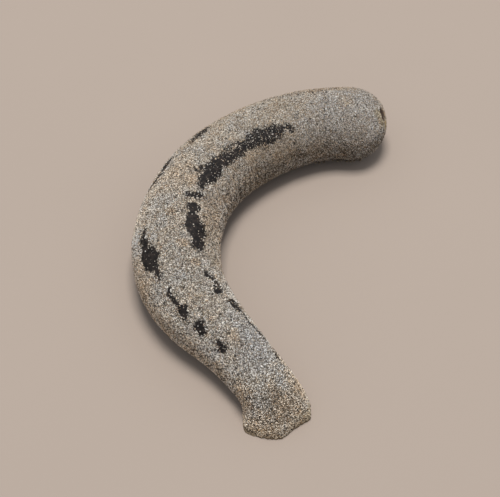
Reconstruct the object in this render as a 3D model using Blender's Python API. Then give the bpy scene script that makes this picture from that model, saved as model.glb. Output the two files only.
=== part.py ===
"""A sea cucumber, Holothuria atra, lying on the floor in a left-hand bend, at life size.

Metres, +Z up. The floor is z = 0, and the origin is on it, under the middle of the model's box.
The body is a loft of rounded sections along a route over the floor, from the tail tip to the neck,
and a place on it is a station, the distance from the tail tip along that route. Past the neck the
sections tip over about the throat, from upright to flat on the floor, where the last one is the lip
round the mouth. Planes square to the route part the body into lengths, 0.3 mm from each other.
Tube feet under the sole, and shield-shaped tentacles round the mouth, stand on the floor.
"""

import math
import random

import bmesh
import bpy
import numpy as np
from mathutils import Matrix, Vector

# How the pieces meet
GAP = 0.0003  # between neighbouring pieces
SOLE_LIFT = 0.0012  # the tube feet hold the sole this far off the floor

# The route over the floor
TAIL_TIP = (0.0539, 0.0672)
TAIL_HEADING = math.radians(171)
NECK = 0.2013
BENDS = (  # (start, end, degrees turned to the left), which overlap into one smooth curve
    (0.000, 0.060, 38.7),
    (0.045, 0.103, 27.9),
    (0.080, 0.138, 29.8),
    (0.120, 0.179, 45.9),
    (0.161, 0.212, -8.4),
)
ROUTE_STEP = 0.0005

# The section along the route
HALF_WIDTHS = (  # (station, half width)
    (0.000, 0.0174),
    (0.025, 0.0156),
    (0.049, 0.0163),
    (0.078, 0.0168),
    (0.107, 0.0174),
    (0.134, 0.0181),
    (0.161, 0.0157),
    (0.185, 0.0119),
    (0.2013, 0.0112),
)
HEIGHTS = (  # (station, height)
    (0.000, 0.0270),
    (0.020, 0.0285),
    (0.045, 0.0290),
    (0.105, 0.0310),
    (0.150, 0.0290),
    (0.179, 0.0250),
    (0.2013, 0.0195),
)
BACK_SHARE = 0.56  # of the height lies above the widest line
BACK_POWER = 2.2  # of the superellipse above the widest line
SOLE_POWER = 2.8  # and of the flatter one below it
CAP_LENGTH = 0.0175  # of the rounded tail end
CAP_POWER = 2.3
CAP_STATIONS = (0.0002, 0.0008, 0.0020, 0.0040, 0.0068, 0.0105, 0.0145)

# How finely the loft is built
SECTION_POINTS = 36
RING_SPACING = 0.0045
MERGE = 1e-6

# The head, from the neck to the lip
FAN_STEPS = 7
THROAT_ADVANCE = 0.0020  # the throat moves on this far while the sections tip over
LIP_LENGTH = 0.0190  # of the last section, from the throat to the front
LIP_HALF_WIDTH = 0.0122
LIP_SHARE = 0.50  # of the lip's length lies ahead of its widest line
LIP_POWER = 2.75  # of the lip's front outline
LIP_FLARE = 0.0009  # the lip spreads by this on the floor
FLARE_START = 0.40  # of the way from the neck to the lip
LIP_CORNERS = (  # of its outline: (share of a turn from its front by the right, reach, half width)
    (-0.080, 0.0012, 0.050),
    (0.045, 0.0011, 0.045),
    (0.150, -0.0005, 0.050),
    (0.252, 0.0021, 0.050),
    (0.335, 0.0004, 0.070),
)
LIP_RIM = 0.0020  # width of the rim that lies on the floor
RECESS_DEPTH = 0.0062
RECESS_SLOPE = 0.0034  # the recess is this much narrower at its roof, all round

# The oral disc under the roof of the recess, with the mouth in its middle
DISC_THICKNESS = 0.0018
MOUTH_RADIUS = 0.0016
MOUTH_DEPTH = 0.0010

# The shield-shaped tentacles that press on the floor round the mouth, in an outer and an inner row
TENTACLE_ROWS = (  # (how many, share of the recess's size to their shields, to their roots, radius)
    (12, 0.74, 0.55, 0.00145),
    (8, 0.42, 0.34, 0.00130),
)
TENTACLE_SIDES = 12
TENTACLE_STALK = 0.00055
SHIELD_THICKNESS = 0.0006
SHIELD_NECK = 0.0015  # height at which the shield has narrowed to its stalk
SHIELD_NOTCH = 0.76  # of the radius, between its lobes
TENTACLE_SINK = 0.0008  # of each root into the disc

# The tube feet, in three bands of two rows under the sole
FOOT_BANDS = (-0.46, 0.0, 0.46)  # across, as shares of the half width
FOOT_PITCH = 0.0046  # along the route, between the feet of one band
FOOT_ZIGZAG = 0.08  # of the half width, to either side of the band's middle
FOOT_SIDES = 6
SUCKER_RADIUS = 0.0010
SUCKER_SIZES = (0.85, 1.1)  # smallest and largest, as shares of that radius
SUCKER_THICKNESS = 0.0003
FOOT_WAIST = (0.00055, 0.0008)  # radius, height
FOOT_ROOT = 0.00075  # radius where it meets the sole
FOOT_SINK = 0.0012  # of each root into the body
FOOT_WANDER = 0.0004  # of each foot from its place in the row
FOOT_SPREAD = 0.0005  # of each sucker from under its root
FEET_START = 0.0092  # behind it the sole rises into the tail's cap
CUT_CLEARANCE = 0.0018  # from a cut to the middle of the nearest foot
SEED = 11

# The vent at the tail end
VENT_STATION = 0.0024
VENT_HALF_SIZES = (0.0009, 0.0045, 0.0029)  # across, in depth and along the slit
VENT_LEAN = math.radians(30)

# The lengths that the body is parted into, from the tail: name, station of the cut ahead of it
TAIL_CUT = 0.024
LENGTHS = (
    ("body_rear", 0.056),
    ("body_mid_rear", 0.088),
    ("body_mid", 0.119),
    ("body_mid_front", 0.149),
    ("body_front", 0.180),
)

# Colours and finishes: colour, roughness
SKINS = {
    "tail": ((0.20, 0.17, 0.14), 0.9),
    "body_rear": ((0.27, 0.23, 0.19), 0.9),
    "body_mid_rear": ((0.24, 0.21, 0.17), 0.9),
    "body_mid": ((0.22, 0.19, 0.16), 0.9),
    "body_mid_front": ((0.20, 0.18, 0.15), 0.9),
    "body_front": ((0.19, 0.17, 0.14), 0.9),
    "head": ((0.17, 0.15, 0.12), 0.9),
    "mouth": ((0.05, 0.045, 0.04), 0.7),
}


def eased(share):
    """0 to 1 with a level start and end."""
    share = np.clip(share, 0.0, 1.0)
    return share * share * (3 - 2 * share)


def blend(start, end, share):
    return start + (end - start) * share


def through(stations, place):
    """The smooth curve through (place, value) stations, read at a place."""
    places, values = np.array(stations).T
    slopes = np.gradient(values, places)
    place = np.clip(place, places[0], places[-1])
    index = int(np.clip(np.searchsorted(places, place) - 1, 0, len(places) - 2))
    span = places[index + 1] - places[index]
    t = (place - places[index]) / span
    start = (2 * t**3 - 3 * t**2 + 1) * values[index]
    end = (3 * t**2 - 2 * t**3) * values[index + 1]
    leaving = (t**3 - 2 * t**2 + t) * span * slopes[index]
    arriving = (t**3 - t**2) * span * slopes[index + 1]
    return float(start + end + leaving + arriving)


def heading(station):
    """Compass heading of the route at a station or an array of them, from +X to the left."""
    turned = sum(turn * eased((station - a) / (b - a)) for a, b, turn in BENDS)
    return TAIL_HEADING + np.radians(turned)


def walk_route():
    """Stations along the route and the floor point under each."""
    stations = np.arange(0, NECK + ROUTE_STEP, ROUTE_STEP)
    steps = heading((stations[:-1] + stations[1:]) / 2)
    x = TAIL_TIP[0] + ROUTE_STEP * np.concatenate([[0], np.cumsum(np.cos(steps))])
    y = TAIL_TIP[1] + ROUTE_STEP * np.concatenate([[0], np.cumsum(np.sin(steps))])
    return stations, x, y


ROUTE = walk_route()


def stance(station):
    """The frame on the floor at a station: X to the animal's right, Y ahead along the route, Z up."""
    stations, x, y = ROUTE
    spot = Vector((np.interp(station, stations, x), np.interp(station, stations, y), 0))
    return Matrix.Translation(spot) @ Matrix.Rotation(heading(station) - math.pi / 2, 4, "Z")


def cap_factor(station):
    """The share of its full size that the rounding of the tail end leaves the section."""
    inside = np.clip((CAP_LENGTH - station) / CAP_LENGTH, 0, 1)
    return float((1 - inside**CAP_POWER) ** 0.5)


def section_sizes(station):
    """Half width, height above and below the widest line, and that line's height over the floor."""
    height = through(HEIGHTS, station)
    above = BACK_SHARE * height
    below = height - above
    kept = cap_factor(station)
    return through(HALF_WIDTHS, station) * kept, above * kept, below * kept, SOLE_LIFT + below


def superellipse(half_width, above, below, back_power):
    """(across, up) points, from the top round by the right, measured from the widest line."""
    outline = []
    for k in range(SECTION_POINTS):
        across = math.sin(math.tau * k / SECTION_POINTS)
        up = math.cos(math.tau * k / SECTION_POINTS)
        power = 2 / (back_power if up >= 0 else SOLE_POWER)
        x = math.copysign(abs(across) ** power, across) * half_width
        z = math.copysign(abs(up) ** power, up) * (above if up >= 0 else below)
        outline.append((x, z))
    return outline


def cornered(outline, middle, spread):
    """The lip's outline with its corners drawn out from the middle, by a share of their full reach."""
    drawn = []
    for k, (x, z) in enumerate(outline):
        turn = k / SECTION_POINTS
        reach = 0.0
        for place, full, half_width in LIP_CORNERS:
            away = abs((turn - place + 0.5) % 1 - 0.5)
            reach += spread * full * max(0.0, 1 - away / half_width)
        further = 1 + reach / math.hypot(x, z - middle)
        drawn.append((x * further, middle + (z - middle) * further))
    return drawn


def body_ring(station, shift=0.0):
    """The section at a station, moved ahead by shift."""
    half_width, above, below, widest = section_sizes(station)
    outline = superellipse(half_width, above, below, BACK_POWER)
    placed = stance(station)
    return [placed @ Vector((x, shift, widest + z)) for x, z in outline]


def fan_ring(share):
    """The section at a share of the way from the upright neck, 0, to the flat lip, 1."""
    neck_half_width, above, below, _ = section_sizes(NECK)
    spread = float(eased((share - FLARE_START) / (1 - FLARE_START)))
    flare = LIP_FLARE * spread
    length = blend(above + below, LIP_LENGTH, share) + flare
    half_width = blend(neck_half_width, LIP_HALF_WIDTH, share) + flare
    ahead = length * blend(BACK_SHARE, LIP_SHARE, share)
    behind = length - ahead
    outline = superellipse(half_width, ahead, behind, blend(BACK_POWER, LIP_POWER, share))
    outline = cornered(outline, (ahead - behind) / 2, spread)
    throat = Vector((0, THROAT_ADVANCE * share, SOLE_LIFT * (1 - share)))
    tipped = Matrix.Rotation(-math.pi / 2 * share, 4, "X")
    placed = stance(NECK) @ Matrix.Translation(throat) @ tipped
    return [placed @ Vector((x, 0, behind + z)) for x, z in outline]


def recess_ring(height, inset=0.0):
    """The lip's outline, drawn in to the wall of the recess at a height above the floor."""
    drawn_in = LIP_RIM + RECESS_SLOPE * height / RECESS_DEPTH + inset
    length = LIP_LENGTH + LIP_FLARE
    ahead = length * LIP_SHARE
    behind = length - ahead
    half_width = LIP_HALF_WIDTH + LIP_FLARE - drawn_in
    outline = superellipse(half_width, ahead - drawn_in, behind - drawn_in, LIP_POWER)
    placed = stance(NECK) @ Matrix.Translation((0, THROAT_ADVANCE + behind, height))
    return [placed @ Vector((x, y, 0)) for x, y in outline]


def new_object(name, bm, collection):
    """The closed mesh as an object, with its faces turned outwards."""
    bmesh.ops.recalc_face_normals(bm, faces=bm.faces)
    mesh = bpy.data.meshes.new(name)
    bm.to_mesh(mesh)
    bm.free()
    made = bpy.data.objects.new(name, mesh)
    collection.objects.link(made)
    return made


def loft(name, rings, collection):
    """One closed body through rings of equally many points, with a flat face on the first and last."""
    bm = bmesh.new()
    rows = [[bm.verts.new(point) for point in ring] for ring in rings]
    for row, following in zip(rows, rows[1:]):
        for k in range(len(row)):
            after = (k + 1) % len(row)
            bm.faces.new((row[k], row[after], following[after], following[k]))
    bm.faces.new(rows[0])
    bm.faces.new(rows[-1])
    return new_object(name, bm, collection)


def rings_between(first, last):
    """The body's sections between two stations, about one ring spacing apart."""
    count = max(1, round((last - first) / RING_SPACING))
    return [body_ring(blend(first, last, k / count)) for k in range(1, count)]


def build_tail(name, last, collection):
    """The rounded tail end, up to the first cut."""
    cap = [body_ring(station) for station in CAP_STATIONS]
    rings = cap + rings_between(CAP_STATIONS[-1], last) + [body_ring(last, -GAP / 2)]
    return loft(name, rings, collection)


def build_length(name, first, last, collection):
    """A length of the body between two cuts."""
    ends = body_ring(first, GAP / 2), body_ring(last, -GAP / 2)
    return loft(name, [ends[0], *rings_between(first, last), ends[1]], collection)


def build_head(name, first, collection):
    """From the last cut along the neck to the lip, then up into the recess that holds the mouth."""
    neck = [body_ring(first, GAP / 2), *rings_between(first, NECK)]
    fan = [fan_ring(step / FAN_STEPS) for step in range(FAN_STEPS + 1)]
    recess = [recess_ring(0), recess_ring(RECESS_DEPTH)]
    return loft(name, neck + fan + recess, collection)


def build_disc(name, collection):
    """The oral disc, which fills the top of the recess."""
    top = RECESS_DEPTH - GAP
    rings = [recess_ring(top - DISC_THICKNESS, GAP), recess_ring(top, GAP)]
    return loft(name, rings, collection)


def turned(profile, sides):
    """A closed mesh turned from (radius, height) points, the first and the last of them on the axis."""
    bm = bmesh.new()
    points = [bm.verts.new((radius, 0, height)) for radius, height in profile]
    lines = [bm.edges.new(pair) for pair in zip(points, points[1:])]
    bmesh.ops.spin(
        bm,
        geom=points + lines,
        cent=(0, 0, 0),
        axis=(0, 0, 1),
        angle=math.tau,
        steps=sides,
        use_merge=True,
    )
    bmesh.ops.remove_doubles(bm, verts=bm.verts, dist=MERGE)
    return bm


def lean(bm, height, root, tip):
    """Slant a turned mesh so that its bottom stands at tip and its top, at a height, over root."""
    for vert in bm.verts:
        vert.co += tip.lerp(root, vert.co.z / height)


def sole_height(station, across):
    """Height of the sole above the floor, at a place across the body."""
    half_width, _, below, widest = section_sizes(station)
    return widest - below * (1 - (abs(across) / half_width) ** SOLE_POWER) ** (1 / SOLE_POWER)


def build_foot(name, station, across, draws, collection):
    """One tube foot, from inside the body down to its sucker on the floor."""
    station += draws.uniform(-FOOT_WANDER, FOOT_WANDER)
    across += draws.uniform(-FOOT_WANDER, FOOT_WANDER)
    top = sole_height(station, across) + FOOT_SINK
    radius = SUCKER_RADIUS * draws.uniform(*SUCKER_SIZES)
    profile = (
        (0, 0),
        (radius, 0),
        (radius, SUCKER_THICKNESS),
        FOOT_WAIST,
        (FOOT_ROOT, top),
        (0, top),
    )
    bm = turned(profile, FOOT_SIDES)
    bmesh.ops.rotate(bm, verts=bm.verts, matrix=Matrix.Rotation(draws.uniform(0, math.tau), 3, "Z"))
    root = stance(station) @ Vector((across, 0, 0))
    spread = Vector((draws.uniform(-1, 1), draws.uniform(-1, 1), 0)) * FOOT_SPREAD
    lean(bm, top, root, root + spread)
    return new_object(name, bm, collection)


def grow_feet(owner, first, last):
    """The tube feet under one length of the body."""
    draws = random.Random(f"{SEED} {owner.name}")
    feet = new_collection(owner.name + "_feet")
    start, end = first + CUT_CLEARANCE, last - CUT_CLEARANCE
    steps = round((end - start) / FOOT_PITCH)
    for band, middle in enumerate(FOOT_BANDS):
        for k in range(steps + 1):
            station = blend(start, end, k / steps)
            side = 1 if (k + band) % 2 else -1
            across = (middle + side * FOOT_ZIGZAG) * section_sizes(station)[0]
            build_foot(f"{owner.name}_foot_{band}_{k}", station, across, draws, feet)
    fuse(owner, feet)


def build_tentacle(name, root, tip, radius, collection):
    """A stalk from inside the disc down to a lobed shield that lies on the floor."""
    top = RECESS_DEPTH - GAP - DISC_THICKNESS + TENTACLE_SINK
    profile = (
        (0, 0),
        (radius, 0),
        (radius, SHIELD_THICKNESS),
        (TENTACLE_STALK, SHIELD_NECK),
        (TENTACLE_STALK, top),
        (0, top),
    )
    bm = turned(profile, TENTACLE_SIDES)
    for vert in bm.verts:
        side = round(math.atan2(vert.co.y, vert.co.x) / math.tau * TENTACLE_SIDES)
        if side % 2 and vert.co.xy.length > 2 * TENTACLE_STALK:
            vert.co.xy *= SHIELD_NOTCH
    lean(bm, top, root, tip)
    return new_object(name, bm, collection)


def recess_place(share, angle):
    """A floor point at a share of the way from the middle of the recess to its edge."""
    edge = recess_ring(0)
    front, right, rear, left = (edge[SECTION_POINTS * k // 4] for k in range(4))
    middle = (front + rear) / 2
    ahead = math.cos(angle) * (front - rear) / 2
    across = math.sin(angle) * (right - left) / 2
    return middle + share * (ahead + across)


def grow_tentacles(owner):
    tentacles = new_collection(owner.name + "_tentacles")
    for row, (count, shield_share, root_share, radius) in enumerate(TENTACLE_ROWS):
        for k in range(count):
            angle = math.tau * (k + 0.5 * row) / count
            root = recess_place(root_share, angle)
            tip = recess_place(shield_share, angle)
            build_tentacle(f"tentacle_{row}_{k}", root, tip, radius, tentacles)
    fuse(owner, tentacles)


def rounded_cutter(name, half_sizes, placed, collection):
    """An egg-shaped cutter."""
    bm = bmesh.new()
    bmesh.ops.create_uvsphere(bm, u_segments=12, v_segments=8, radius=1)
    bmesh.ops.scale(bm, vec=half_sizes, verts=bm.verts)
    bmesh.ops.transform(bm, matrix=placed, verts=bm.verts)
    cutter = new_object(name, bm, collection)
    cutter.hide_render = True
    cutter.display_type = "WIRE"
    return cutter


def cut(owner, cutter):
    difference = owner.modifiers.new(cutter.name, "BOOLEAN")
    difference.operation = "DIFFERENCE"
    difference.object = cutter


def cut_vent(tail, cutters):
    """The slit of the vent, upright on the tail's end, a little above its middle."""
    _, above, _, widest = section_sizes(VENT_STATION)
    on_back = Matrix.Translation((0, 0, widest + above))
    leaning = Matrix.Rotation(-VENT_LEAN, 4, "X")
    placed = stance(VENT_STATION) @ on_back @ leaning
    cut(tail, rounded_cutter("vent", VENT_HALF_SIZES, placed, cutters))


def cut_mouth(mouth, cutters):
    """The mouth itself, a dish in the middle of the disc's underside."""
    middle = recess_place(0, 0) + Vector((0, 0, RECESS_DEPTH - GAP - DISC_THICKNESS))
    sizes = (MOUTH_RADIUS, MOUTH_RADIUS, MOUTH_DEPTH)
    cut(mouth, rounded_cutter("mouth_dish", sizes, Matrix.Translation(middle), cutters))


def fuse(owner, pieces):
    """Join the pieces' collection to the owner, keep its largest closed surface, and drop the pieces."""
    union = owner.modifiers.new("pieces", "BOOLEAN")
    union.operation = "UNION"
    union.operand_type = "COLLECTION"
    union.collection = pieces
    apply_modifiers(owner)
    for piece in list(pieces.objects):
        bpy.data.objects.remove(piece)
    bpy.data.collections.remove(pieces)
    keep_largest(owner)


def apply_modifiers(made):
    """Make the shape that the modifiers give the object's own mesh."""
    graph = bpy.context.evaluated_depsgraph_get()
    mesh = bpy.data.meshes.new_from_object(made.evaluated_get(graph))
    made.modifiers.clear()
    made.data = mesh


def keep_largest(made):
    """Drop every closed surface but the largest."""
    bm = bmesh.new()
    bm.from_mesh(made.data)
    left = set(bm.faces)
    surfaces = []
    while left:
        surface = {left.pop()}
        edge = list(surface)
        while edge:
            near = {face for line in edge.pop().edges for face in line.link_faces} & left
            left -= near
            surface |= near
            edge += near
        surfaces.append(surface)
    largest = max(surfaces, key=lambda surface: sum(face.calc_area() for face in surface))
    loose = [face for surface in surfaces if surface is not largest for face in surface]
    bmesh.ops.delete(bm, geom=loose, context="FACES")
    bm.to_mesh(made.data)
    bm.free()


def finish(made, station, holder):
    """Give a piece its material and shading, and its origin on the floor at a station."""
    placed = stance(station)
    made.data.transform(placed.inverted())
    made.matrix_world = placed
    made.parent = holder
    colour, roughness = SKINS[made.name]
    material = bpy.data.materials.new(made.name)
    material.use_nodes = True
    shader = material.node_tree.nodes["Principled BSDF"]
    shader.inputs["Base Color"].default_value = (*colour, 1)
    shader.inputs["Roughness"].default_value = roughness
    shader.inputs["Metallic"].default_value = 0
    made.data.materials.clear()
    made.data.materials.append(material)
    made.data.shade_smooth()
    made.data.set_sharp_from_angle(angle=math.radians(50))


def new_collection(name):
    collection = bpy.data.collections.new(name)
    bpy.context.scene.collection.children.link(collection)
    return collection


def clear_scene():
    for left in list(bpy.data.objects):
        bpy.data.objects.remove(left)


def main():
    clear_scene()
    body = new_collection("sea_cucumber")
    cutters = new_collection("cutters")
    holder = bpy.data.objects.new("sea_cucumber_on_floor", None)
    body.objects.link(holder)

    tail = build_tail("tail", TAIL_CUT, body)
    grow_feet(tail, FEET_START, TAIL_CUT)
    cut_vent(tail, cutters)
    finish(tail, 0, holder)

    first = TAIL_CUT
    for name, last in LENGTHS:
        length = build_length(name, first, last, body)
        grow_feet(length, first, last)
        finish(length, first, holder)
        first = last

    head = build_head("head", first, body)
    grow_feet(head, first, NECK)
    finish(head, first, holder)

    mouth = build_disc("mouth", body)
    grow_tentacles(mouth)
    cut_mouth(mouth, cutters)
    finish(mouth, NECK, holder)


main()
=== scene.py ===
"""The looks of a life-size sea cucumber, Holothuria atra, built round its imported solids.

One skin runs from the tail end over the back and the sole to the lip and up into the recess round
the mouth. Sand lies on it as separate grains, sorted by mineral, with rows of bare black patches left
free along the back. Tube feet, papillae, the oral disc and its tentacles stand on the same surface.

Metres, +Z up. A place on the body is a way, the distance over the skin from the tail pole along the
midline of the back, and a share of a turn around the body, from the top of the back by the animal's
right. Across is the distance over the skin from the midline, to the right of it.
"""

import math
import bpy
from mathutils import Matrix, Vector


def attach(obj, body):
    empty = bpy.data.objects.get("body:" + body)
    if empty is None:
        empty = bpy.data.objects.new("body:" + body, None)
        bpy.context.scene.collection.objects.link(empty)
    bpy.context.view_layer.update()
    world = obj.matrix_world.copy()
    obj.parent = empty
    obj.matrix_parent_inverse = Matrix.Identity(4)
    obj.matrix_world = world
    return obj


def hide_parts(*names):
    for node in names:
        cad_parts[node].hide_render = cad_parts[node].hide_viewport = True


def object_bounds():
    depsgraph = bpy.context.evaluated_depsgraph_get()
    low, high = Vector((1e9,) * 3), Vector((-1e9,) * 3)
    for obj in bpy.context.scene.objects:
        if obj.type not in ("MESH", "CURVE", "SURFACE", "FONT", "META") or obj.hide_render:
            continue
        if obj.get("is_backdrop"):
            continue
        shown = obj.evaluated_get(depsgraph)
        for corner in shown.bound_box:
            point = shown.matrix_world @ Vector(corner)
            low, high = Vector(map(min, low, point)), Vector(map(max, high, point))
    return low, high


bl_info = {
    "name": "Sea cucumber",
    "version": (1, 0, 0),
    "blender": (4, 5, 0),
    "location": "View3D > Sidebar > Sea cucumber",
    "description": "Dresses the solids of a sea cucumber in skin, sand, tube feet and tentacles",
    "category": "Add Mesh",
}

from typing import NamedTuple

import bmesh
import bpy
import numpy as np
from bpy.props import FloatProperty, FloatVectorProperty, IntProperty, PointerProperty
from bpy.types import Operator, Panel, PropertyGroup
from mathutils import Matrix, Vector, kdtree, noise

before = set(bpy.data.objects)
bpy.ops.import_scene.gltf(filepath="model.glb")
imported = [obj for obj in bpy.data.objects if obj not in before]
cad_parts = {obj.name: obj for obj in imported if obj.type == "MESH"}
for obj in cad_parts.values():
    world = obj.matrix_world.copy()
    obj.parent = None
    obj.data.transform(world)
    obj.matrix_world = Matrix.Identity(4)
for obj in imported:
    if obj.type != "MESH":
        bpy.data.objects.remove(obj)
CAD_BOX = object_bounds()
LOWEST, HIGHEST = (np.array(corner) for corner in CAD_BOX)
FLESH_NODES = [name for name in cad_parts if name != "mouth"]

TURN = math.tau
SEED = 11
MERGE = 1e-6
MM = 0.001  # for the tables that are in millimetres

# The route over the floor, as the solids have it
SOLE_LIFT = 0.0012
TAIL_TIP = (0.0539, 0.0672)
TAIL_HEADING = math.radians(171)
NECK = 0.2013
BENDS = (  # (start, end, degrees turned to the left)
    (0.000, 0.060, 38.7),
    (0.045, 0.103, 27.9),
    (0.080, 0.138, 29.8),
    (0.120, 0.179, 45.9),
    (0.161, 0.212, -8.4),
)
ROUTE_STEP = 0.0005

# The section along the route, as the solids have it
HALF_WIDTHS = (  # (station, half width)
    (0.000, 0.0174), (0.025, 0.0156), (0.049, 0.0163), (0.078, 0.0168), (0.107, 0.0174),
    (0.134, 0.0181), (0.161, 0.0157), (0.185, 0.0119), (0.2013, 0.0112),
)
HEIGHTS = (  # (station, height)
    (0.000, 0.0270), (0.020, 0.0285), (0.045, 0.0290), (0.105, 0.0310),
    (0.150, 0.0290), (0.179, 0.0250), (0.2013, 0.0195),
)
BACK_SHARE = 0.56
BACK_POWER = 2.2
SOLE_POWER = 2.8
CAP_LENGTH = 0.0175
CAP_POWER = 2.3
THROAT_ADVANCE = 0.0020
LIP_LENGTH = 0.0190
LIP_HALF_WIDTH = 0.0122
LIP_SHARE = 0.50
LIP_POWER = 2.75
LIP_FLARE = 0.0009
FLARE_START = 0.40
LIP_CORNERS = (  # (share of a turn from its front by the right, reach, half width)
    (-0.080, 0.0012, 0.050),
    (0.045, 0.0011, 0.045),
    (0.150, -0.0005, 0.050),
    (0.252, 0.0021, 0.050),
    (0.335, 0.0004, 0.070),
)
BARE_CORNER = LIP_CORNERS[3]
LIP_RIM = 0.0020
FULL_LENGTH = LIP_LENGTH + LIP_FLARE
FULL_HALF_WIDTH = LIP_HALF_WIDTH + LIP_FLARE
RECESS_DEPTH = 0.0062
RECESS_SLOPE = 0.0034

# Ways at which the skin passes from one stretch to the next
CAP_WAY = CAP_LENGTH * math.pi / 2
NECK_WAY = CAP_WAY + NECK - CAP_LENGTH
LIP_WAY = NECK_WAY + 0.016
RIM_WAY = LIP_WAY + 0.002
ROOF_WAY = RIM_WAY + 0.007
END_WAY = ROOF_WAY + 0.006
UNDER_LIP = (  # (way, drawn in from the lip's outline, height, share of the outline that is left)
    (LIP_WAY, 0.0, 0.0, 1.0),
    (RIM_WAY, LIP_RIM, 0.0, 1.0),
    (ROOF_WAY, LIP_RIM + RECESS_SLOPE, RECESS_DEPTH, 1.0),
    (END_WAY, LIP_RIM + RECESS_SLOPE, RECESS_DEPTH, 0.0),
)

# The bare streaks on the back, each a chain of places: way, across, half width in millimetres
BARE_STREAKS = (
    # the left row, from the rear forwards
    ((58, -11.2, 0.9), (59.2, -9.8, 1.1), (59.9, -8, 0.3)),
    ((63.2, -10.2, 1.7), (66, -9.8, 2.9), (68.5, -9.9, 3.4)),
    ((68.5, -9.9, 3.4), (71.7, -9.9, 3.7), (75, -9.1, 3.9), (77.8, -8.6, 3.3), (79, -9.2, 2.4)),
    ((79, -9.4, 2.4), (82.2, -9.6, 1.9), (83.9, -8.8, 1.4), (85, -8.8, 1.6)),
    ((85, -8.8, 1.6), (87.2, -9.6, 2.3), (90.6, -9.8, 2.4), (95, -9.3, 2.6), (98.9, -8.7, 2)),
    ((98.9, -8.7, 2), (101.7, -7.9, 2.5), (104.4, -7.8, 3.4), (107.2, -7.9, 3.8), (110, -8, 3.4)),
    ((110, -8, 3.4), (112.8, -7.1, 2.7), (115, -6.8, 1.7), (116.5, -6.7, 0.8)),
    ((108.6, -4, 0.8), (111.2, -2, 0.4)),
    ((118.2, -7.5, 0.4), (118.7, -7.1, 0.3)),
    ((123.4, -8.2, 0.9), (124.6, -6.2, 1.6), (125, -4.6, 1.5), (124.8, -2.8, 0.4)),
    ((129.6, -6.4, 1), (131.4, -7.2, 2.4), (133.6, -7.3, 1.7), (136.2, -7.4, 1.3)),
    ((130.6, -5.2, 1), (130, -4.6, 0.7)),
    ((138, -7.8, 3.2), (142.3, -8.5, 4.3), (145, -9.2, 3.4), (146.2, -8.6, 1.9)),
    ((148.6, -9, 1.7), (151, -9.3, 2.3), (153.4, -8.4, 2.3), (155.2, -8.8, 0.7)),
    ((168.6, -7.2, 0.7), (170, -6.9, 0.6)),
    ((171, -9, -0.3), (173.5, -8.1, -0.1), (176, -7.4, 0.7), (178.2, -6.8, 1.1), (179.4, -5.8, 0.5)),
    ((185.4, -9.6, 1.1), (187.2, -8.4, 1.9), (189, -9, 1)),
    ((193.2, -8.9, -0.2), (196.2, -8.8, 0.2), (199.4, -9.8, 0.1), (202.4, -10.2, 0.4), (204.6, -10.6, 0.1)),
    ((211.2, -10.2, 0.3), (211.6, -8.8, 0.3)),
    # the right row
    ((87.6, 11.4, 1.1), (90.8, 11, 2), (94.4, 10.4, 2), (96.4, 9.4, 0.9)),
    (
        (107.6, 14.2, 1), (110.4, 14.6, 1.6), (113.5, 14.9, 1.2), (115.6, 15, 1.7),
        (118, 16.4, 1.4), (121, 17.8, 1),
    ),
    ((142.2, 13.2, 0.4), (144, 13.6, 1), (145.6, 13.8, 1.4), (147.6, 13, 0.9)),
    ((148.6, 13.4, 1.4), (151.6, 13.6, 2.3), (154.4, 12.5, 3.4), (156.4, 11.8, 2.2)),
    ((150.4, 9.9, 0.4), (152.2, 9, 0.6), (154, 9.2, 1)),
    ((158.4, 11.1, 0.4), (160.2, 11.2, 0.8), (161.4, 10.8, 1)),
    (
        (168.2, 10.2, 0.3), (170.2, 10.9, 0.6), (172.8, 10.9, 0.6), (175, 11, 0.5),
        (176.6, 10.6, 1.2), (177.8, 11.3, 1.6),
    ),
    ((177.2, 8.8, 0.4), (177.5, 10.4, 1.3)),
    ((185.6, 10.4, 1.7), (187, 10, 1.8)),
    ((196.8, 8.3, 0.9), (198.2, 8.6, 1.3), (197.8, 10, 0.6)),
)
# Streaks that keep about half of their grains, as above
THIN_STREAKS = (
    ((84.5, -7, 1), (88.5, -5.8, 1.4), (92.5, -5.8, 1.3), (96.5, -5.8, 0.9)),
    ((100.8, -5.4, 0.8), (103, -5.6, 1)),
    ((117, -7, 1.4), (119, -6.6, 0.8), (120.8, -6, 0.6)),
    ((148, 10.9, 1), (150.4, 10.4, 1.4), (153, 9.6, 1)),
    ((168, -7.8, 0.9), (171, -8.4, 1.4), (175.5, -8.3, 1.8), (179.5, -6.4, 1.3)),
    ((184.6, -8.6, 1), (188, -9, 2.4), (193, -9, 1), (201, -9.8, 0.9)),
    ((196.4, 8, 1.9), (198.4, 8.6, 2.1)),
    ((157, 11.2, 0.9), (162.2, 10.9, 1.3)),
    ((203, -8.8, 0.6), (212.5, -9.4, 1)),
    ((63, -6.6, 0.7), (70, -5.4, 0.8), (77, -4.2, 0.7)),
)

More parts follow.
